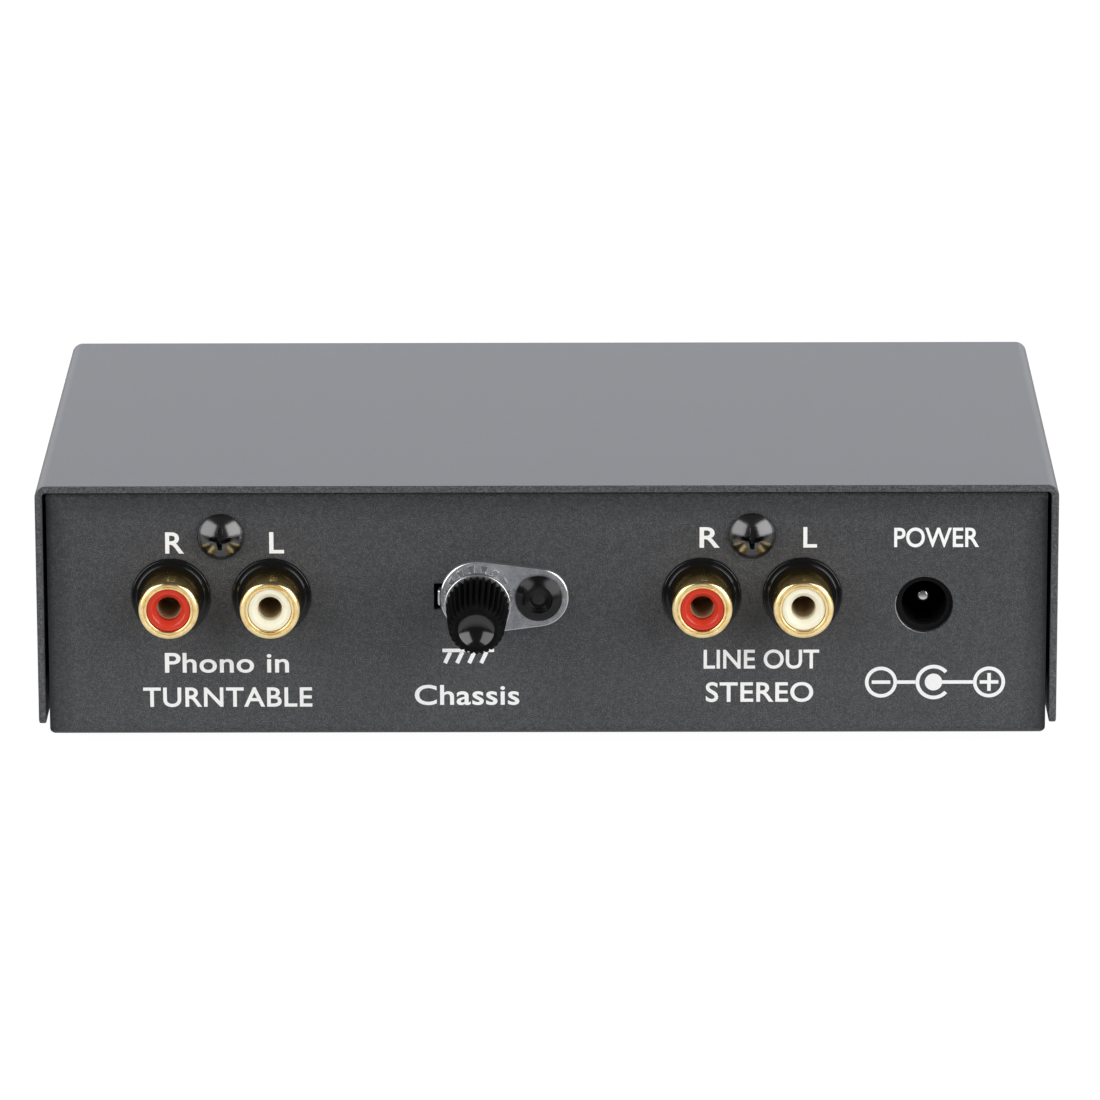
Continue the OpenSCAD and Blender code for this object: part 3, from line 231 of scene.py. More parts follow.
# How gloss sees the floor between two places in front of the case: share of the way and brightness.
FLOOR_FAR_Y, FLOOR_NEAR_Y = -112, -42
# Its last stop, next to the case, is a painted shadow of the case.
FLOOR_STOPS = ((0, 0.08), (0.6, 0.8), (1, 0.5))
FLOOR_SIDE = 6  # metres
FLOOR_PAINT = 0.85  # how pale the floor is under the lamps
FLOOR_GLOW, FLOOR_GLOW_SHARE = 1.09, 0.9  # the white that the camera sees on it, and its share


def make_camera():
    data = bpy.data.cameras.new("camera")
    data.lens, data.sensor_width = CAMERA_LENS, CAMERA_SENSOR
    data.clip_start, data.clip_end = 0.01, 20
    camera = bpy.data.objects.new("camera", data)
    bpy.context.scene.collection.objects.link(camera)
    turn = (
        Matrix.Rotation(CAMERA_YAW, 4, "Z")
        @ Matrix.Rotation(pi / 2 - CAMERA_PITCH, 4, "X")
        @ Matrix.Rotation(CAMERA_ROLL, 4, "Z")
    )
    camera.matrix_world = Matrix.Translation(CAMERA_PLACE) @ turn
    bpy.context.scene.camera = camera


def soft_box(name, direction, distance, width, height, level, tint=(1, 1, 1)):
    """Square lamp that faces the object and shines with the given brightness."""
    data = bpy.data.lights.new(name, "AREA")
    data.shape, data.size, data.size_y = "RECTANGLE", width, height
    data.energy = level * pi * width * height
    data.color = tint
    lamp = bpy.data.objects.new(name, data)
    bpy.context.scene.collection.objects.link(lamp)
    way = Vector(direction).normalized()
    lamp.location = way * distance + Vector((0, 0, AXIS_Z * MM))
    lamp.rotation_euler = way.to_track_quat("Z", "Y").to_euler()
    lamp.visible_camera = False


def make_world():
    """White for the camera and through glass; a dim room for everything else."""
    world = bpy.data.worlds.new("studio")
    bpy.context.scene.world = world
    world.use_nodes = True
    made = Nodes(world.node_tree)
    camera = made.node("LightPath", out="Is Camera Ray")
    glass = made.node("LightPath", out="Is Transmission Ray")
    seen = made.node("Math", {"operation": "MAXIMUM"}, {0: camera, 1: glass})
    room = made.node("Background", sockets={"Color": grey(1), "Strength": ROOM_LEVEL})
    bright = made.node("Background", sockets={"Color": grey(1), "Strength": 1})
    mix = made.node("MixShader", sockets={0: seen, 1: room, 2: bright})
    made.node("OutputWorld", sockets={0: mix})


def make_floor():
    """White floor with a pale shadow. It can't be seen from below.

    Gloss sees it brightest a little way in front of the case, dim further towards -Y, and dimmer again
    next to the case: a painted shadow of the case.
    """
    clear_selection()
    bpy.ops.mesh.primitive_plane_add(size=FLOOR_SIDE)
    floor = bpy.context.active_object
    floor.name = "floor"
    material = bpy.data.materials.new("floor")
    material.use_nodes = True
    material.cycles.emission_sampling = "NONE"
    made = Nodes(material.node_tree)
    place = made.node("TexCoord", out="Object")
    near = made.node("MapRange", sockets={
        "Value": made.node("SeparateXYZ", sockets={0: place}, out="Y"),
        "From Min": FLOOR_FAR_Y * MM, "From Max": FLOOR_NEAR_Y * MM,
    })
    shine = made.node("Emission", sockets={"Color": made.steps(near, *FLOOR_STOPS)})
    paint = made.node("BsdfDiffuse", sockets={"Color": grey(FLOOR_PAINT)})
    glow = made.node("Emission", sockets={"Strength": FLOOR_GLOW})
    clear = made.node("BsdfTransparent")
    seen = made.node("LightPath", out="Is Camera Ray") * FLOOR_GLOW_SHARE
    mirrored = made.node("LightPath", out="Is Glossy Ray")
    under = made.node("NewGeometry", out="Backfacing")
    lit = made.node("MixShader", sockets={0: seen, 1: paint, 2: glow})
    gloss = made.node("MixShader", sockets={0: mirrored, 1: lit, 2: shine})
    through = made.node("MixShader", sockets={0: under, 1: gloss, 2: clear})
    made.node("OutputMaterial", sockets={0: through})
    floor.data.materials.append(material)


# ---------- Finishes ----------

COOL = (0.965, 0.99, 1.045)  # tint of a grey that leans to blue
PALENESS = 4.4  # how much metal a satin finish loses for each unit of roughness it gains, where it is painted paler as painted light
EDGE_PAINTED_LIGHT = 0.8  # how dim the cover's cut edge is painted: below 1 it is paler, a painted highlight
MOULDED = (0.008, 0.5)  # relief of a moulded or dipped body: its depth in millimetres and strength


def painted_recess_shade(made):
    """Painted shade on the recessed panel next to the cover round it: a mask from 0 to about 1."""
    x, z = (made.node("SeparateXYZ", sockets={"Vector": made.place}, out=axis) for axis in "XZ")
    across = made.node("Math", {"operation": "ABSOLUTE"}, {0: x})
    per_reach = 1 / (SHADE_REACH * MM)
    side = ((CASE_W / 2 - COVER_SHEET) * MM - across) * per_reach
    top = ((CASE_TOP - COVER_SHEET) * MM - z) * per_reach
    side = made.steps(side, (0, 0.92), (0.18, 0.8), (0.34, 0.42), (1, 0))
    top = made.steps(top, (0, 0.45), (0.3, 0.3), (1, 0))
    return made.node("Math", {"operation": "MAXIMUM"}, {0: side, 1: top})


def powder_coat(name="powder_coat", depth=1.0, with_painted_shade=False):
    """Satin powder coat: a fine orange peel with paler and darker specks.

    Depth 1 is the plain coat, and less paints it paler as painted light. With painted shade, the coat
    is painted darker next to the cover.
    """
    made = Finish(name, Specular_IOR_Level=0.45, Specular_Tint=(0.93, 0.95, 1, 1))
    peel = made.noise(2.4, 2)
    specks = made.noise(6, 1)
    clouds = made.noise(0.03, 2)
    tone = made.steps(peel * 0.3 + specks * 0.7, (0.34, 0), (0.66, 1))
    mix = tone * (tone * 0.6 + 0.4)
    fine = made.blend(mix, grey(0.031 / depth, COOL), grey(0.126 / depth, COOL))
    colour = made.blend(clouds * 0.15, fine, grey(0.055 / depth, COOL))
    if with_painted_shade:
        # Painted shade: the coat is darkened next to the cover round the panel.
        colour = made.blend(painted_recess_shade(made), colour, grey(0.004, COOL))
    made.feed("Base Color", colour)
    made.feed("Roughness", 0.28 + tone * 0.12)
    made.bump(peel * 0.6 + specks * 0.4, 0.028, 0.6)
    return made.material


def plain_finish(name, grain, first, second, roughness, relief, **constants):
    """Finish with one grain in its colour, gloss and relief, each as PLAIN_FINISHES gives it."""
    made = Finish(name, **constants)
    skin = made.noise(grain, 3)
    made.feed("Base Color", made.blend(skin, first, second))
    made.feed("Roughness", roughness[0] + skin * roughness[1])
    if relief:
        made.bump(skin, *relief)
    return made.material


def white_ink():
    """Screen-printed ink: an even white with a faint mesh mark."""
    made = Finish("white_ink", Specular_IOR_Level=0.3)
    mesh = made.noise(5, 2)
    made.feed("Base Color", made.blend(mesh, grey(0.84), grey(0.93)))
    made.feed("Roughness", 0.5 + mesh * 0.15)
    made.bump(mesh, 0.004, 0.5)
    return made.material


def gloss_moulding():
    """Glossy black moulding with a faint flow pattern."""
    made = Finish("gloss_black_plastic", Specular_IOR_Level=0.5)
    flow = made.noise(0.5, 3)
    fine = made.noise(6, 2)
    made.feed("Base Color", made.blend(flow, grey(0.003), grey(0.007, COOL)))
    made.feed("Roughness", 0.06 + flow * 0.08)
    made.bump(fine, 0.002, 0.4)
    return made.material


def gold_plate(name="gold_plate", satin=0.0):
    """Gold over turned brass, with fine rings and a few darker stains.

    Satin is how much rougher it is. Except where it faces up it is paler too: painted light on the
    rim's lower and side faces.
    """
    made = Finish(name, Metallic=1, Specular_Tint=(1, 0.82, 0.5, 1))
    stain = made.noise(1.1, 4)
    rings = made.noise(1.0, 3, stretch=(0.35, 14, 0.35))
    mask = made.steps(stain, (0.42, 0), (0.72, 1))
    bright, deep = (1, 0.82, 0.44, 1), (0.88, 0.60, 0.22, 1)
    made.feed("Base Color", made.blend(mask, bright, deep))
    if satin:
        # Painted light: faces that don't point up get less metal and more roughness, so they look
        # paler, as if lit.
        facing = made.node("TexCoord", out="Normal")
        up = made.node("SeparateXYZ", sockets={"Vector": facing}, out="Z")
        painted_pale_mask = made.steps(up, (0.1, 1), (0.42, 0))
        made.feed("Metallic", 1 - painted_pale_mask * (PALENESS * satin))
        made.feed("Roughness", rings * 0.12 + (0.12 + painted_pale_mask * satin))
    else:
        made.feed("Roughness", 0.12 + rings * 0.12)
    made.bump(rings * 0.25 + stain * 0.75, 0.02, 0.6)
    return made.material


def coloured_insulator(name, pale, deep):
    """Moulded sleeve with a soft sheen and a faint mottle."""
    made = Finish(name, Specular_IOR_Level=0.5, Subsurface_Weight=0.12, Subsurface_Scale=0.0006)
    mottle = made.noise(1.3, 3)
    fine = made.noise(7, 2)
    made.feed("Base Color", made.blend(mottle, pale, deep))
    made.feed("Roughness", 0.16 + mottle * 0.12)
    made.bump(fine, 0.004, 0.4)
    return made.material


def nickel_plate():
    """Satin nickel: faint rolling marks along the plate and small pits."""
    made = Finish("nickel_plate", Metallic=1)
    marks = made.noise(1.2, 3, stretch=(0.25, 3, 4))
    pits = made.noise(5, 2)
    patches = made.steps(made.noise(0.55, 3), (0.36, 0), (0.66, 1))
    tone = pits * 0.75 + patches * 0.25
    made.feed("Base Color", made.blend(tone, grey(0.2, COOL), grey(0.7, COOL)))
    made.feed("Roughness", 0.36 + marks * 0.12 + pits * 0.14)
    made.bump(marks * 0.5 + pits * 0.5, 0.012, 0.7)
    return made.material


def black_plating(name, gloss, roughness):
    """Glossy black plating with small irregularities. Gloss is its index of refraction."""
    made = Finish(name, IOR=gloss, Specular_IOR_Level=0.5)
    dents = made.noise(1.6, 3)
    fine = made.noise(6, 2)
    made.feed("Base Color", made.blend(dents, grey(0.002), grey(0.008)))
    made.feed("Roughness", roughness + fine * 0.14)
    made.bump(dents * 0.7 + fine * 0.3, 0.016, 0.6)
    return made.material


def knurled_plastic():
    """Matt black moulding: a fine texture, rubbed a little paler in patches."""
    made = Finish("knurled_plastic", Specular_IOR_Level=0.05)
    skin = made.noise(6, 3)
    rubbed = made.steps(made.noise(0.8, 4), (0.45, 0), (0.75, 1))
    made.feed("Base Color", made.blend(rubbed, grey(0.004), grey(0.008)))
    made.feed("Roughness", 0.5 + skin * 0.2)
    made.bump(skin, 0.012, 0.6)
    return made.material


def solder_mask():
    """Green lacquer over a woven board."""
    made = Finish("board", Specular_IOR_Level=0.5)
    warp, weft = made.noise(2, 2, stretch=(1, 0.2, 1)), made.noise(2, 2, stretch=(0.2, 1, 1))
    weave = warp * 0.5 + weft * 0.5
    made.feed("Base Color", made.blend(weave, (0.015, 0.13, 0.05, 1), (0.035, 0.22, 0.1, 1)))
    made.feed("Roughness", 0.25 + weave * 0.2)
    made.bump(weave, 0.01, 0.5)
    return made.material


# Specks a millimetre, the two colours, roughness and its spread, depth and strength of the relief,
# and constants. The dull gold is the springs in the jacks. The dark metal is painted shade, on the DC
# socket's spring and on its centre pin behind the tip.
PLAIN_FINISHES = {
    "foot_rubber": (4, grey(0.014), grey(0.026), (0.72, 0.2), (0.02, 0.6), {"Specular_IOR_Level": 0.3}),
    "socket_plastic": (
        4, grey(0.004), grey(0.009), (0.45, 0.2), (0.006, 0.5), {"Specular_IOR_Level": 0.1}
    ),
    "polished_dish": (2, grey(0.002), grey(0.006), (0.1, 0.1), (0.004, 0.4), {"IOR": 1.62}),
    "dull_gold": (
        2, (0.52, 0.4, 0.24, 1), (0.7, 0.57, 0.36, 1), (0.4, 0.2), (0.006, 0.5), {"Metallic": 0.25}
    ),
    "bare_steel": (4, grey(0.5), grey(0.72), (0.22, 0.2), None, {"Metallic": 1}),
    "painted_shade_metal": (2, grey(0.01), grey(0.03), (0.4, 0.3), (0.006, 0.5), {"Metallic": 1}),
    "bright_nickel": (3, grey(0.82), grey(0.98), (0.12, 0.2), (0.01, 0.6), {"Metallic": 1}),
    "tinned_metal": (3, grey(0.6), grey(0.8), (0.25, 0.25), (0.01, 0.5), {"Metallic": 1}),
    "lamp_lens": (4, (0.35, 0.01, 0.008, 1), (0.45, 0.014, 0.01, 1), (0.12, 0.15), MOULDED, {}),
    "chip_plastic": (4, grey(0.012), grey(0.024), (0.5, 0.15), MOULDED, {}),
    "film_case": (4, (0.3, 0.02, 0.012, 1), (0.4, 0.03, 0.02, 1), (0.25, 0.15), MOULDED, {}),
    "capacitor_sleeve": (
        4, (0.006, 0.01, 0.04, 1), (0.01, 0.02, 0.07, 1), (0.25, 0.15), MOULDED, {}
    ),
    "resistor_paint": (4, (0.08, 0.22, 0.38, 1), (0.12, 0.3, 0.48, 1), (0.3, 0.15), MOULDED, {}),
}


def make_finishes():
    """Materials of the record's slots, and of surfaces that only this script tells apart."""
    made = {
        "powder_coat": powder_coat(),
        "powder_coat_painted_light": powder_coat("powder_coat_painted_light", EDGE_PAINTED_LIGHT),
        "powder_coat_painted_shade": powder_coat("powder_coat_painted_shade", with_painted_shade=True),
        "white_ink": white_ink(),
        "black_screw": black_plating("black_screw", 2, 0.13),
        "black_rivet": black_plating("black_rivet", 1.4, 0.15),
        "board": solder_mask(),
        "nickel_plate": nickel_plate(),
        "gloss_black_plastic": gloss_moulding(),
        "gold_plate": gold_plate(),
        "satin_gold": gold_plate("satin_gold", 0.15),
        "red_insulator": coloured_insulator(
            "red_insulator", (0.68, 0.05, 0.022, 1), (0.58, 0.034, 0.016, 1)
        ),
        "white_insulator": coloured_insulator(
            "white_insulator", (0.97, 0.93, 0.77, 1), (0.91, 0.86, 0.66, 1)
        ),
        "knurled_plastic": knurled_plastic(),
    }
    for name, (grain, first, second, roughness, relief, constants) in PLAIN_FINISHES.items():
        made[name] = plain_finish(name, grain, first, second, roughness, relief, **constants)
    return made


# ---------- Modelling ----------


def clear_selection():
    if bpy.context.object and bpy.context.object.mode != "OBJECT":
        bpy.ops.object.mode_set(mode="OBJECT")
    bpy.ops.object.select_all(action="DESELECT")


def choose(obj, *others):
    """Selects these pieces alone, and makes the first the active one."""
    clear_selection()
    for piece in (obj, *others):
        piece.select_set(True)
    bpy.context.view_layer.objects.active = obj


def edit(obj):
    """Opens obj alone in edit mode with everything selected."""
    choose(obj)
    bpy.ops.object.mode_set(mode="EDIT")
    bpy.ops.mesh.select_mode(type="VERT")
    bpy.ops.mesh.select_all(action="SELECT")


def close_edit():
    bpy.ops.object.mode_set(mode="OBJECT")


def tidy_mesh(obj):
    """Merges what meets and turns the faces outwards."""
    edit(obj)
    bpy.ops.mesh.remove_doubles(threshold=1e-7)
    bpy.ops.mesh.normals_make_consistent(inside=False)
    close_edit()


def smooth(obj, degrees=32):
    """Smooths edges below an angle, and keeps large flat faces flat up to their rounded edges."""
    choose(obj)
    bpy.ops.object.shade_smooth_by_angle(angle=radians(degrees))
    finish_with(obj, "WEIGHTED_NORMAL", mode="FACE_AREA", weight=50, keep_sharp=True)


def finish_with(obj, kind, **settings):
    """Adds a modifier, sets it and applies it."""
    choose(obj)
    modifier = obj.modifiers.new(kind.lower(), kind)
    for name, value in settings.items():
        setattr(modifier, name, value)
    bpy.ops.object.modifier_apply(modifier=modifier.name)


def bevel(obj, width_mm, segments, degrees=40):
    finish_with(
        obj, "BEVEL", width=width_mm * MM, segments=segments, limit_method="ANGLE",
        angle_limit=radians(degrees), loop_slide=False, use_clamp_overlap=False,
    )


def join(first, *others):
    """Makes one piece of several, and keeps the first's name."""
    choose(first, *others)
    bpy.ops.object.join()
    return first


def combine(obj, cutter, operation):
    """Boolean of obj with cutter, which is used up."""
    finish_with(obj, "BOOLEAN", operation=operation, object=cutter, solver="EXACT")
    bpy.data.objects.remove(cutter)


def copied(obj, name, shift):
    """Copy of a finished piece with a mesh of its own, moved by shift millimetres."""
    twin = obj.copy()
    twin.data = obj.data.copy()
    twin.name = twin.data.name = name
    bpy.context.scene.collection.objects.link(twin)
    twin.data.transform(Matrix.Translation(Vector(shift) * MM))
    return twin


def trace(name, points):
    """One line of edges through the points, drawn by extruding a single vertex."""
    clear_selection()
    bpy.ops.mesh.primitive_plane_add(size=MM, location=(0, 0, 0))
    obj = bpy.context.active_object
    obj.name = obj.data.name = name
    bpy.ops.object.mode_set(mode="EDIT")
    bpy.ops.mesh.merge(type="CENTER")
    bpy.ops.transform.translate(value=points[0])
    for before, after in zip(points, points[1:]):
        bpy.ops.mesh.extrude_vertices_move(TRANSFORM_OT_translate={"value": after - before})
    close_edit()
    return obj


def rounded(corners, closed=False, steps=5):
    """Outline through (x, y) corners, in millimetres. An (x, y, radius) corner becomes an arc."""
    made, count = [], len(corners)
    for i, corner in enumerate(corners):
        here = Vector(corner[:2])
        inner = closed or 0 < i < count - 1
        if len(corner) < 3 or not inner:
            made.append(here)
            continue
        back = (Vector(corners[i - 1][:2]) - here).normalized()
        ahead = (Vector(corners[(i + 1) % count][:2]) - here).normalized()
        half = back.angle(ahead) / 2
        centre = here + (back + ahead).normalized() * (corner[2] / sin(half))
        reach = corner[2] / tan(half)
        start, end = here + back * reach - centre, here + ahead * reach - centre
        sweep = start.angle_signed(end)
        for n in range(steps + 1):
            angle = -sweep * n / steps
            turned_start = Vector((
                start.x * cos(angle) - start.y * sin(angle),
                start.x * sin(angle) + start.y * cos(angle),
            ))
            made.append(centre + turned_start)
    return made


def arc(centre, radius, start, end, steps):
    """Points of an arc from one angle to another, in degrees."""
    made = []
    for n in range(steps + 1):
        angle = radians(start + (end - start) * n / steps)
        made.append(Vector((centre[0] + radius * cos(angle), centre[1] + radius * sin(angle))))
    return made


def turned(name, origin, profile, axis=OUT, facets=FACETS):
    """Lathe piece: profile is (radius, distance along the axis) points, in millimetres."""
    side = X if abs(axis.x) < 0.5 else Z
    base = Vector(origin) * MM
    points = [base + (side * r + axis * h) * MM for r, h in profile]
    obj = trace(name, points)
    edit(obj)
    bpy.ops.mesh.spin(steps=facets, angle=2 * pi, center=base, axis=axis)
    close_edit()
    tidy_mesh(obj)
    return obj


def plate(name, origin, outline, thickness, across=X, up=Z):
    """Flat piece: the outline, in millimetres on the panel's plane, given a thickness outwards."""
    base = Vector(origin) * MM
    out = across.cross(up)
    points = [base + (across * p[0] + up * p[1]) * MM for p in outline]
    obj = trace(name, points)
    edit(obj)
    bpy.ops.mesh.edge_face_add()
    bpy.ops.mesh.extrude_region_move(TRANSFORM_OT_translate={"value": out * thickness * MM})
    close_edit()
    tidy_mesh(obj)
    return obj


def box(name, low, high):
    """Cube between two corners, in millimetres."""
    outline = [(low[0], low[2]), (high[0], low[2]), (high[0], high[2]), (low[0], high[2])]
    return plate(name, (0, high[1], 0), outline, high[1] - low[1])


def dress(obj, slot, body, *nodes):
    """Gives a finished piece the material of its slot and its body, and hides the nodes that it stands
    for.
    """
    obj.data.materials.clear()
    obj.data.materials.append(finishes[slot])
    smooth(obj)
    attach(obj, body)
    if nodes:
        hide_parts(*nodes)
    return obj


def pick(obj, test):
    """Opens obj in edit mode, with the vertices selected whose place, in millimetres, passes."""
    clear_selection()
    bpy.context.view_layer.objects.active = obj
    bpy.context.tool_settings.mesh_select_mode = (True, False, False)
    bpy.ops.object.mode_set(mode="EDIT")
    bpy.ops.mesh.select_all(action="DESELECT")
    bpy.ops.object.mode_set(mode="OBJECT")
    for vertex in obj.data.vertices:
        vertex.select = bool(test(vertex.co / MM))
    bpy.ops.object.mode_set(mode="EDIT")


def bevel_part(obj, width_mm, segments, where):
    """Rounds only the sharp edges whose middle, in millimetres, passes the test."""
    edit(obj)
    bpy.ops.mesh.select_mode(type="EDGE")
    bpy.ops.mesh.select_all(action="DESELECT")
    bpy.ops.mesh.edges_select_sharp(sharpness=radians(40))
    bpy.ops.object.mode_set(mode="OBJECT")
    vertices, edges = obj.data.vertices, obj.data.edges
    for edge in edges:
        start, end = (vertices[n].co / MM for n in edge.vertices)
        edge.select = edge.select and where((start + end) / 2)
    ends = {n for edge in edges if edge.select for n in edge.vertices}
    for vertex in vertices:
        vertex.select = vertex.index in ends
    for face in obj.data.polygons:
        face.select = False
    bpy.ops.object.mode_set(mode="EDIT")
    bpy.ops.mesh.bevel(offset=width_mm * MM, segments=segments, loop_slide=False)
    bpy.ops.mesh.select_mode(type="VERT")
    close_edit()


def dressed(node, edge, segments=2, where=None):
    """Copy of one of the case's CAD nodes with its edges rounded, to stand for the node."""
    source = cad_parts[node]
    obj = bpy.data.objects.new(node + "_dressed", source.data.copy())
    bpy.context.scene.collection.objects.link(obj)
    edit(obj)
    bpy.ops.mesh.remove_doubles(threshold=1e-6)
    bpy.ops.mesh.dissolve_limited(angle_limit=radians(0.5))
    bpy.ops.mesh.select_all(action="SELECT")
    bpy.ops.mesh.customdata_custom_splitnormals_clear()
    close_edit()
    if where:
        bevel_part(obj, edge, segments, where)
    else:
        bevel(obj, edge, segments)
    return dress(obj, CAD_SLOT[node], "case", node)


# ---------- Case ----------


def on_panels(place):
    """Whether a place, in millimetres, is on the rear or front panel."""
    return place.y < PANEL_Y + SHEET + 0.01 or place.y > FRONT_FROM


def make_case():
    """Powder-coated sheets: paint rounds the cover's cut edges and those on the chassis's rear and
    front panels.
    """
    chassis = dressed("chassis", 0.14, where=on_panels)
    cover = dressed("cover", 0.22, segments=3)
    cover.data.materials.append(finishes["powder_coat_painted_light"])
    # The sheet's cut edge gets a paler coat, a painted highlight, except down its left side.
    left_side = COVER_SHEET + 0.3 - CASE_W / 2
    for face in cover.data.polygons:
        place = face.center / MM
        if place.y < CASE_REAR + ON_PLANE and place.x > left_side:
            face.material_index = 1
    chassis.data.materials.append(finishes["bare_steel"])
    # Third material: the coat with painted shade, for the rear panel's faces.
    chassis.data.materials.append(finishes["powder_coat_painted_shade"])
    for face in chassis.data.polygons:
        place = face.center / MM
        across, up = place.x - DC_X, place.z - DC_Z
        if place.y < PANEL_Y + ON_PLANE:
            face.material_index = 2
        # The sheet's edge is bare steel at the lower left of the DC hole, and powder-coated round the
        # rest of it.
        on_edge = hypot(across, up) < DC_HOLE_R + 0.16 and place.y < PANEL_Y + SHEET + 0.1
        if on_edge and up < 1 and across + up * 0.3 < -0.6:
            face.material_index = 1


def make_feet():
    """Stick-on rubber feet with a rounded lower edge and a shallow hollow underneath."""
    hollow = 0.35
    outline = rounded([(0, hollow), (2.6, hollow), (3.1, 0, 0.25), (4.6, 0, 0.5),
                       (FOOT_R, FOOT_H, 0.1), (0, FOOT_H)])
    low, high = (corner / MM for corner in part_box("rubber_feet"))
    feet = [
        turned("rubber_foot", (x, y, 0), outline, axis=Z)
        for x in (low.x + FOOT_R, high.x - FOOT_R)
        for y in (low.y + FOOT_R, high.y - FOOT_R)
    ]
    foot = join(*feet)
    foot.name = foot.data.name = "rubber_feet_turned"
    dress(foot, "foot_rubber", "case", "rubber_feet")


def dome(head_r, rim, top, stop_r, steps):
    """Arc of a domed head, from its rim at head_r in to stop_r, as (radius, height) points."""
    rise = top - rim
    ball = (rise * rise + head_r * head_r) / (2 * rise)
    start, end = asin(head_r / ball), asin(stop_r / ball)
    points = []
    for n in range(steps + 1):
        angle = start + (end - start) * n / steps
        points.append(Vector((ball * sin(angle), top - ball + ball * cos(angle))))
    return points


def screw(name, seat, axis, across, up, head_r, head_h, rim, length, turn=0.0):
    """Domed cross-head screw: seat is the centre of the face that its head sits on."""
    shank = [(0, -length), (SCREW_R - 0.25, -length), (SCREW_R, -length + 0.25), (SCREW_R, 0),
             (head_r - 0.1, 0), (head_r, 0.1)]
    obj = turned(name, seat, shank + dome(head_r, rim, head_h, 0, 16), axis=axis)
    reach, slot_half = head_r * 0.55, head_r * 0.1
    outline = []
    for n in range(4):
        quarter = Matrix.Rotation(turn - n * pi / 2, 2)
        for corner in ((slot_half, -slot_half * 1.6), (slot_half, -reach), (-slot_half, -reach)):
            outline.append(quarter @ Vector(corner))
    base = Vector(seat) * MM
    top = head_h + SLOT_ABOVE
    cutter = trace("recess", [base + (across * p.x + up * p.y + axis * top) * MM for p in outline])
    edit(cutter)
    bpy.ops.mesh.edge_face_add()
    depth = head_h * 0.7 + SLOT_ABOVE
    bpy.ops.mesh.extrude_region_move(TRANSFORM_OT_translate={"value": -axis * depth * MM})
    floor = base + axis * (top - depth) * MM
    bpy.ops.transform.resize(value=(0.55, 0.55, 0.55), center_override=floor)
    close_edit()
    tidy_mesh(cutter)
    combine(obj, cutter, "DIFFERENCE")
    bevel(obj, 0.05, 2, 35)
    return obj


def make_screws():
    """Fixing screws of the jacks, and the screws in the cover's sides."""
    seat = (PAIR_X["input"], PANEL_Y, AXIS_Z + JACK_SCREW_RISE)
    first = screw("jack_screws_domed", seat, OUT, X, Z, head_r=3.25, head_h=2.1, rim=0.42,
                  length=JACK_SCREW_L)
    second = copied(first, "jack_screw", PAIR_SHIFT)
    dress(join(first, second), "black_screw", "case", "jack_screws")
    low, high = (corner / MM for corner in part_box("cover_screws"))
    rear, front = low.y + COVER_SCREW_R, high.y - COVER_SCREW_R
    heads = []
    for side in (-1, 1):
        seat = (side * CASE_W / 2, rear, COVER_SCREW_Z)
        head = screw("cover_screws_domed", seat, X * side, Y * side, Z, head_r=COVER_SCREW_R,
                     head_h=0.8, rim=0.27, length=5.5, turn=0.4)
        heads += [head, copied(head, "cover_screw", (0, front - rear, 0))]
    dress(join(*heads), "black_screw", "case", "cover_screws")


# ---------- Phono jacks ----------


def make_jack_mouldings():
    """Black mouldings behind the panel, each with a stepped collar round its two shells."""
    x = PAIR_X["input"]
    half = JACK_PITCH / 2 + JACK_MARGIN
    back, front = PANEL_Y + SHEET + JACK_DEPTH, PANEL_Y + SHEET
    body = box("input_jack_moulding", (x - half, front, AXIS_Z + JACK_FLOOR),
               (x + half, back, AXIS_Z + JACK_MARGIN))
    tower = box("tower", (x - TOWER_W / 2, front, AXIS_Z),
                (x + TOWER_W / 2, back, AXIS_Z + TOWER_TOP))
    combine(body, tower, "UNION")
    collars = [(0, -SHEET - 1), (COLLAR_R, -SHEET - 1), (COLLAR_R, COLLAR_REACH, 0.14),
               (COLLAR_STEP_R, COLLAR_REACH, 0.06), (COLLAR_STEP_R, COLLAR_FACE, 0.2),
               (0, COLLAR_FACE)]
    seat_r = SHELL_SEAT_R + 0.02  # a little clear of the shell
    for side in (-1, 1):
        centre = (x + side * JACK_PITCH / 2, PANEL_Y, AXIS_Z)
        combine(body, turned("collar", centre, rounded(collars)), "UNION")
        bore = [(0, -SEAT), (seat_r, -SEAT), (seat_r, COLLAR_FACE + CUT), (0, COLLAR_FACE + CUT)]
        combine(body, turned("bore", centre, bore), "DIFFERENCE")
    centre = (x, PANEL_Y, AXIS_Z + JACK_SCREW_RISE)
    hole = [(0, -JACK_SCREW_L), (SCREW_HOLE_R, -JACK_SCREW_L), (SCREW_HOLE_R, CUT), (0, CUT)]
    combine(body, turned("screw_hole", centre, hole), "DIFFERENCE")
    twin = copied(body, "output_jack_moulding", PAIR_SHIFT)
    dress(body, "gloss_black_plastic", "case", "input_jack_body")
    dress(twin, "gloss_black_plastic", "case", "output_jack_body")


def back_leg(x, z, start_y, out_y, end_z):
    """Flat leg from the back of a socket, bent down. Its outer face is at out_y."""
    leg = [(start_y, z + LEG_T / 2), (out_y, z + LEG_T / 2, LEG_BEND), (out_y, end_z),
           (out_y - LEG_T, end_z), (out_y - LEG_T, z - LEG_T / 2, LEG_INNER_BEND),
           (start_y, z - LEG_T / 2)]
    return plate("leg", (x - LEG_W / 2, 0, 0), rounded(leg, closed=True), LEG_W, across=Y, up=Z)


def dress_shell(shell, jack):
    """Polished tube with a satin rim."""
    dress(shell, "gold_plate", "case", jack + "_shell")
    shell.data.materials.append(finishes["satin_gold"])
    for face in shell.data.polygons:
        if face.center.y / MM < PANEL_Y - SHELL_REACH + RIM_DEPTH:
            face.material_index = 1


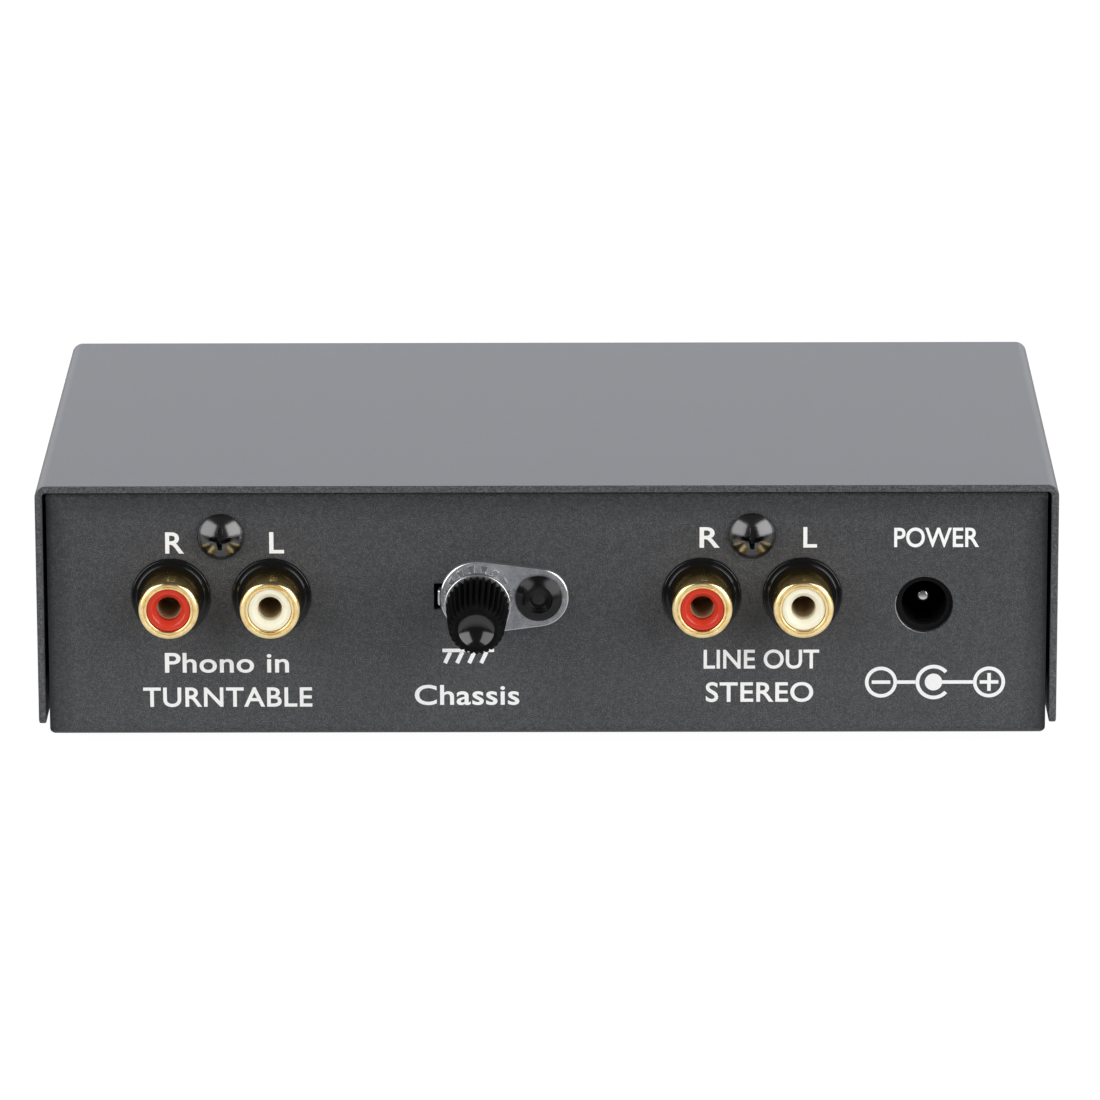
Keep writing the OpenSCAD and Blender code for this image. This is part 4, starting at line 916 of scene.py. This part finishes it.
def make_jacks():
    """Gold shells with a rolled rim and a turned line, and the moulded sleeves inside them."""
    start = JACK_X["input_right"]
    centre = (start, PANEL_Y, AXIS_Z)
    face = SHELL_REACH - 0.02
    low = face - RING_DEPTH
    wall = [(SHELL_BORE_R, -SEAT), (SHELL_SEAT_R, -SEAT), (SHELL_SEAT_R, COLLAR_FACE),
            (SHELL_R, COLLAR_FACE), (SHELL_R, SHELL_REACH, SHELL_LIP),
            (RING_R + RING_W / 2, face, 0.04), (RING_R + RING_W / 4, low, 0.02),
            (RING_R - RING_W / 4, low, 0.02), (RING_R - RING_W / 2, face, 0.04),
            (SHELL_BORE_R, face, 0.2)]
    outline = rounded(wall, closed=True)
    shell = turned("input_right_shell_turned", centre, outline + outline[:1])
    leg_z = AXIS_Z - SHELL_LEG_DROP
    join(shell, back_leg(start, leg_z, LEG_START_Y, SHELL_LEG_Y + LEG_T / 2, LEAD_END))
    wall = [(CONTACT_R, -SEAT), (SLEEVE_R, -SEAT), (SLEEVE_R, SLEEVE_REACH, 0.2),
            (SLEEVE_MOUTH_R, SLEEVE_REACH, 0.3), (SLEEVE_THROAT_R, SLEEVE_THROAT_REACH, 0.4),
            (SLEEVE_THROAT_R, CONTACT_FACE), (CONTACT_R, CONTACT_FACE)]
    outline = rounded(wall, closed=True)
    sleeve = turned("input_right_sleeve", centre, outline + outline[:1])
    for name, x in JACK_X.items():
        if x != start:
            shift = (x - start, 0, 0)
            slot = "red_insulator" if name.endswith("right") else "white_insulator"
            dress_shell(copied(shell, name + "_shell_turned", shift), name)
            twin = copied(sleeve, name + "_sleeve", shift)
            dress(twin, slot, "case", name + "_insulator")
    dress_shell(shell, "input_right")
    dress(sleeve, "red_insulator", "case", "input_right_insulator")


# ---------- DC socket ----------


def make_dc_socket():
    """Centre pin with a blunt rounded tip, and the socket's moulding with softened edges."""
    body = dressed("dc_socket_body", 0.15)
    body.data.materials[0] = finishes["socket_plastic"]
    outline = rounded([(0, DC_PIN_BACK), (DC_PIN_FOOT_R, DC_PIN_BACK), (DC_PIN_FOOT_R, DC_PIN_STEP),
                       (DC_PIN_R, DC_PIN_STEP), (DC_PIN_R, DC_PIN_TIP, 0.55), (0, DC_PIN_TIP)])
    pin = turned("dc_centre_pin_turned", (DC_X, PANEL_Y, DC_Z), outline, facets=48)
    low, high = (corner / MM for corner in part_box("dc_centre_pin"))
    join(pin, back_leg(DC_X, DC_Z, PANEL_Y - DC_PIN_BACK, high.y, low.z))
    dress(pin, "nickel_plate", "case", "dc_centre_pin")
    pin.data.materials[0] = finishes["bright_nickel"]
    # Only the tip is bright: the rest of the pin is painted dark, painted shade deep in the socket.
    pin.data.materials.append(finishes["painted_shade_metal"])
    for face in pin.data.polygons:
        if face.center.y / MM > PANEL_Y - DC_PIN_TIP + 0.3:
            face.material_index = 1


# ---------- Ground terminal ----------


def teardrop(r1, r2, distance):
    """Outline of two circles joined by their outer tangents, in degrees round each."""
    turn = acos((r1 - r2) / distance) * 180 / pi
    big = arc((0, 0), r1, turn, 360 - turn, 60)
    return big + arc((distance, 0), r2, -turn, turn, 48)


def polish_edges(obj):
    """Bright rounded edges on a satin piece."""
    obj.data.materials.append(finishes["bright_nickel"])
    for face in obj.data.polygons:
        if 0.1 < abs(face.normal.y) < 0.98:
            face.material_index = 1


def make_ground_plate():
    """Punched nickel plate with its locating tab folded back through the panel's slot."""
    outline = teardrop(PLATE_STUD_R, PLATE_RIVET_R, RIVET_PITCH)
    obj = plate("ground_plate_punched", (STUD_X, PANEL_Y, AXIS_Z), outline, PLATE_T)
    left = STUD_X - PLATE_STUD_R
    tab = box("tab", (left - 0.3, PANEL_Y - PLATE_T, AXIS_Z - TAB_W / 2),
              (left + PLATE_T, PANEL_Y + SHEET + PLATE_T, AXIS_Z + TAB_W / 2))
    combine(obj, tab, "UNION")
    for x, r in ((STUD_X, STUD_HOLE_R), (STUD_X + RIVET_PITCH, RIVET_HOLE_R)):
        hole = [(0, -CUT), (r, -CUT), (r, 2), (0, 2)]
        combine(obj, turned("hole", (x, PANEL_Y, AXIS_Z), hole), "DIFFERENCE")
    bevel(obj, 0.28, 4)
    dress(obj, "nickel_plate", "case", "ground_plate")
    polish_edges(obj)


def make_rivet():
    """Domed head with a stepped recess, and the bulb behind the panel."""
    bulb = [(RIVET_BORE_R, RIVET_END), (RIVET_BULB_R, RIVET_END, 0.4), (RIVET_BULB_R, -1, 0.2),
            (RIVET_R, -1), (RIVET_R, PLATE_T), (RIVET_HEAD_R - 0.12, PLATE_T)]
    recess_r = 1.95
    points = rounded(bulb) + [(RIVET_HEAD_R, PLATE_T + 0.12)]
    points += dome(RIVET_HEAD_R, PLATE_T + RIVET_RIM, RIVET_TOP, recess_r, 14)
    crown = points[-1].y
    recess = [(recess_r, crown), (1.86, crown - 0.12, 0.08), (1.78, crown - 0.42, 0.1),
              (1.46, crown - 0.42, 0.08), (1.38, crown - 0.75, 0.1), (RIVET_BORE_R, crown - 0.8),
              (RIVET_BORE_R, RIVET_END)]
    points += rounded(recess)[1:]
    obj = turned("ground_rivet_turned", (STUD_X + RIVET_PITCH, PANEL_Y, AXIS_Z), points)
    dress(obj, "black_screw", "case", "ground_rivet")
    obj.data.materials[0] = finishes["black_rivet"]


def make_sliding_washer():
    outline = rounded([(WASHER_BORE_R, WASHER_LOW, 0.05), (WASHER_R, WASHER_LOW, 0.1),
                       (WASHER_R, NUT_LOW, 0.12), (WASHER_BORE_R, NUT_LOW, 0.05)], closed=True)
    obj = turned("sliding_washer_turned", (STUD_X, PANEL_Y, AXIS_Z), outline + outline[:1])
    dress(obj, "nickel_plate", "clamp_washer", "sliding_washer")
    polish_edges(obj)


def nut_outline():
    """Profile of the nut's cap, and the heights at which its tip has a ring of vertices."""
    shoulder, end = NUT_LOW + NUT_L - NUT_SHOULDER, NUT_LOW + NUT_L
    slope = (NUT_BASE_R - NUT_SHOULDER_R) / (NUT_L - NUT_SHOULDER)
    wall = [(INSERT_R, NUT_LOW), (NUT_BASE_R - 0.15, NUT_LOW), (NUT_BASE_R, NUT_LOW + 0.3)]
    wall += [(NUT_BASE_R - slope * h, NUT_LOW + h) for h in (2, 4, 6, 8, 9.6)]
    tip = rounded([(NUT_SHOULDER_R + 0.1, shoulder - 2), (NUT_SHOULDER_R, shoulder, 1.2),
                   (3.62, end - 0.62, 0.7), (NUT_TIP_R, end, 0.5), (DISH_R + 0.05, end)],
                  steps=6)[1:-1]
    ball = (DISH_R ** 2 + DISH_DEPTH ** 2) / (2 * DISH_DEPTH)
    reach = asin(DISH_R / ball)
    dish = [(DISH_R + 0.08, end)]
    for n in range(13):
        angle = reach * (1 - n / 12)
        dish.append((ball * sin(angle), end - DISH_DEPTH + ball - ball * cos(angle)))
    inside = [(0, NUT_LOW + STUD_BORE_L), (STUD_BORE_R, NUT_LOW + STUD_BORE_L),
              (STUD_BORE_R, NUT_LOW + INSERT_L), (INSERT_R, NUT_LOW + INSERT_L), wall[0]]
    heights = sorted({round(point.y - NUT_LOW, 4) for point in tip})
    return wall + tip + dish + inside, heights


def knurl(obj, low, high, members, factor):
    """Draws in the vertices of every groove that lie between two heights above the nut's base."""

    def in_groove(place):
        height = PANEL_Y - place.y - NUT_LOW
        across, up = place.x - STUD_X, place.z - AXIS_Z
        if not low < height < high or hypot(across, up) < INSERT_R + 0.01:
            return False
        return round(atan2(up, across) * TEETH * TOOTH_FACETS / (2 * pi)) % TOOTH_FACETS in members

    pick(obj, in_groove)
    centre = Vector((STUD_X, PANEL_Y, AXIS_Z)) * MM
    bpy.ops.transform.resize(value=(factor, 1, factor), center_override=centre)
    close_edit()


def make_thumb_nut():
    """Black cap: thirty V grooves round a tapering barrel, and a polished dish in its tip."""
    outline, tip_heights = nut_outline()
    origin = (STUD_X, PANEL_Y, AXIS_Z)
    obj = turned("thumb_nut_knurled", origin, outline, facets=TEETH * TOOTH_FACETS)
    # The grooves are full up to the shoulder, and fade out over the tip.
    shoulder = NUT_L - NUT_SHOULDER
    full = shoulder - 0.45
    bands = [(-0.01, full, 1)]
    for height in tip_heights:
        fade = 1 - (height - shoulder + 0.5) / 3.2
        if height > full and fade > 0:
            bands.append((height - 0.001, height + 0.001, fade))
    # Each groove has five of the eight vertices across a tooth: its bottom and two on each wall.
    for low, high, fade in bands:
        for members, share in (((0,), 1), ((1, 7), 0.68), ((2, 6), 0.34)):
            knurl(obj, low, high, members, 1 - KNURL_DEPTH / NUT_BASE_R * share * fade)
    dress(obj, "knurled_plastic", "thumb_nut", "thumb_nut_cap")
    obj.data.materials.append(finishes["polished_dish"])
    for face in obj.data.polygons:
        place = face.center / MM
        inside_dish = hypot(place.x - STUD_X, place.z - AXIS_Z) < DISH_R
        if inside_dish and PANEL_Y - place.y > NUT_LOW + NUT_L - DISH_DEPTH - 0.1:
            face.material_index = 1
    smooth(obj, 25)


# ---------- Lamp ----------


def make_lamp():
    """Red lens with a round end and a flange behind the front panel."""
    low, high = (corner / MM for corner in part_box("power_lamp"))
    length = high.y - low.y
    profile = [(0, 0), (LAMP_FLANGE_R, 0), (LAMP_FLANGE_R, LAMP_FLANGE_T), (LAMP_R, LAMP_FLANGE_T)]
    profile += arc((0, length - LAMP_R), LAMP_R, 0, 90, 12)
    centre = ((low.x + high.x) / 2, low.y, (low.z + high.z) / 2)
    obj = turned("power_lamp_lens", centre, profile, axis=Y)
    dress(obj, "lamp_lens", "case", "power_lamp")


# ---------- Printing ----------

INK = 0.03  # how far the ink stands out of the panel


def label(name, text, left, base, width, cap, spacing=1.0):
    """Printed word between two sides, with capitals of the given height, in millimetres."""
    clear_selection()
    bpy.ops.object.text_add()
    obj = bpy.context.active_object
    obj.name = "label_" + name
    obj.data.body = text
    obj.data.offset = 0.014
    obj.data.space_character = spacing
    obj.data.resolution_u = 5
    bpy.ops.object.convert(target="MESH")
    obj.data.name = obj.name
    xs, ys = [v.co.x for v in obj.data.vertices], [v.co.y for v in obj.data.vertices]
    scale = (width / (max(xs) - min(xs)), cap / (max(ys) - min(ys)), 1, 1)
    place = (
        Matrix.Translation(Vector((left, PANEL_Y, base)) * MM)
        @ Matrix.Rotation(pi / 2, 4, "X")
        @ Matrix.Scale(MM, 4)
        @ Matrix.Diagonal(scale)
        @ Matrix.Translation((-min(xs), -min(ys), 0))
    )
    obj.data.transform(place)
    edit(obj)
    bpy.ops.mesh.remove_doubles(threshold=1e-7)
    bpy.ops.mesh.extrude_region_move(TRANSFORM_OT_translate={"value": OUT * INK * MM})
    close_edit()
    tidy_mesh(obj)
    dress(obj, "white_ink", "case")


def stroke(name, start, end, width):
    """Printed line between two points of the panel."""
    a, b = Vector(start), Vector(end)
    along = (b - a).normalized()
    side = Vector((-along.y, along.x)) * width / 2
    outline = [a - side, b - side, b + side, a + side]
    return plate(name, (0, PANEL_Y, 0), outline, INK)


def ring(name, centre, outer, inner, start=0.0, end=360.0):
    """Printed circle, or an arc of one with open ends."""
    points = arc(centre, outer, start, end, 48) + arc(centre, inner, end, start, 48)
    if end - start < 360:
        return plate(name, (0, PANEL_Y, 0), points, INK)
    profile = [(inner, 0), (outer, 0), (outer, INK), (inner, INK), (inner, 0)]
    return turned(name, (centre[0], PANEL_Y, centre[1]), profile, facets=48)


# Name, words, left side, base line, width, height of the capitals and spacing of the letters.
LABELS = (
    ("input_right", "R", -53, 28.24, 2.6, 3.05),
    ("input_left", "L", -38.55, 28.24, 2.05, 3.05),
    ("output_right", "R", 21.2, 28.95, 2.8, 2.95),
    ("output_left", "L", 35.6, 28.95, 1.9, 2.95),
    ("input", "Phono in", -53.3, 11, 17.3, 2.9, 1.03),
    ("input_use", "TURNTABLE", -56.4, 6.05, 23.6, 2.85, 1.06),
    ("output", "LINE OUT", 21.8, 11.46, 16.1, 2.8),
    ("output_use", "STEREO", 22.1, 6.64, 15, 2.9, 1.05),
    ("ground", "Chassis", -18.5, 6.27, 14.6, 2.95, 1.03),
    ("supply", "POWER", 48.2, 28.95, 11.8, 2.85),
)


def make_ground_symbol():
    """A bar with four slanting strokes below it."""
    z, width, slant_width, slant_end = 14.2, 0.5, 0.56, 12.36
    strokes = [stroke("ground_symbol", (-14.6, z), (-7.4, z), width)]
    for x in (-13.5, -11.82, -10.14, -8.46):
        strokes.append(stroke("slant", (x, z - width / 2), (x - 0.74, slant_end), slant_width))
    dress(join(*strokes), "white_ink", "case")


def make_polarity_symbol():
    """Minus in a circle, an open arc round a dot, and plus in a circle, joined by two lines."""
    z, width, circle_r, reach = 9.5, 0.5, 2.24, 1.3
    arc_r, arc_inner_r, dot_r = 2.5, 1.98, 1.22
    overlap = 0.04
    minus, middle, plus = 46.54, 53.86, 61.6
    dot = [(0, 0), (dot_r, 0), (dot_r, INK), (0, INK)]
    half = width / 2
    cross = []
    for n in range(4):
        quarter = Matrix.Rotation(-n * pi / 2, 2)
        for corner in ((half, reach), (half, half), (reach, half)):
            cross.append(quarter @ Vector(corner))
    lines = ((minus + circle_r - overlap, middle - arc_r + overlap),
             (middle + dot_r - 0.03, plus - circle_r + overlap), (minus - reach, minus + reach))
    symbol = join(
        ring("polarity_symbol", (minus, z), circle_r, circle_r - width),
        ring("ring", (plus, z), circle_r, circle_r - width),
        ring("arc", (middle, z), arc_r, arc_inner_r, 40, 320),
        turned("dot", (middle, PANEL_Y, z), dot, facets=32),
        *(stroke("line", (left, z), (right, z), width) for left, right in lines),
        plate("plus", (plus, PANEL_Y, z), cross, INK),
    )
    dress(symbol, "white_ink", "case")


# ---------- Whole part ----------

CAD_SLOT = {name: obj.data.materials[0].name for name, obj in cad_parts.items()}
finishes = make_finishes()
for name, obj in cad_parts.items():
    finish = finishes[CAD_SLOT[name]]
    if name.endswith("contact"):
        # The DC socket's spring gets the dark metal of painted shade; the jacks' springs get dull gold.
        finish = finishes["painted_shade_metal" if name.startswith("dc") else "dull_gold"]
    for slot in obj.material_slots:
        slot.material = finish

make_camera()
make_world()
make_floor()
soft_box("backdrop", (0, 1, 0.32), distance=1.8, width=3.4, height=1.3, level=BACKDROP_LEVEL,
         tint=(0.99, 1, 1.07))
for name, side, share in (("left_box", -1, 1), ("right_box", 1, 1.25)):
    soft_box(name, (0.786 * side, -0.491, 0.375), distance=0.9, width=1.04, height=0.84,
             level=BOX_LEVEL * share)

make_case()
make_feet()
make_screws()
make_jack_mouldings()
make_jacks()
make_dc_socket()
make_ground_plate()
make_rivet()
for node, edge in (("ground_tooth_washer", 0.05), ("ground_hex_nut", 0.12)):
    dressed(node, edge).data.materials[0] = finishes["bright_nickel"]
make_sliding_washer()
make_thumb_nut()
make_lamp()
for words in LABELS:
    label(*words)
make_ground_symbol()
make_polarity_symbol()

bpy.context.scene.view_settings.view_transform = "Standard"
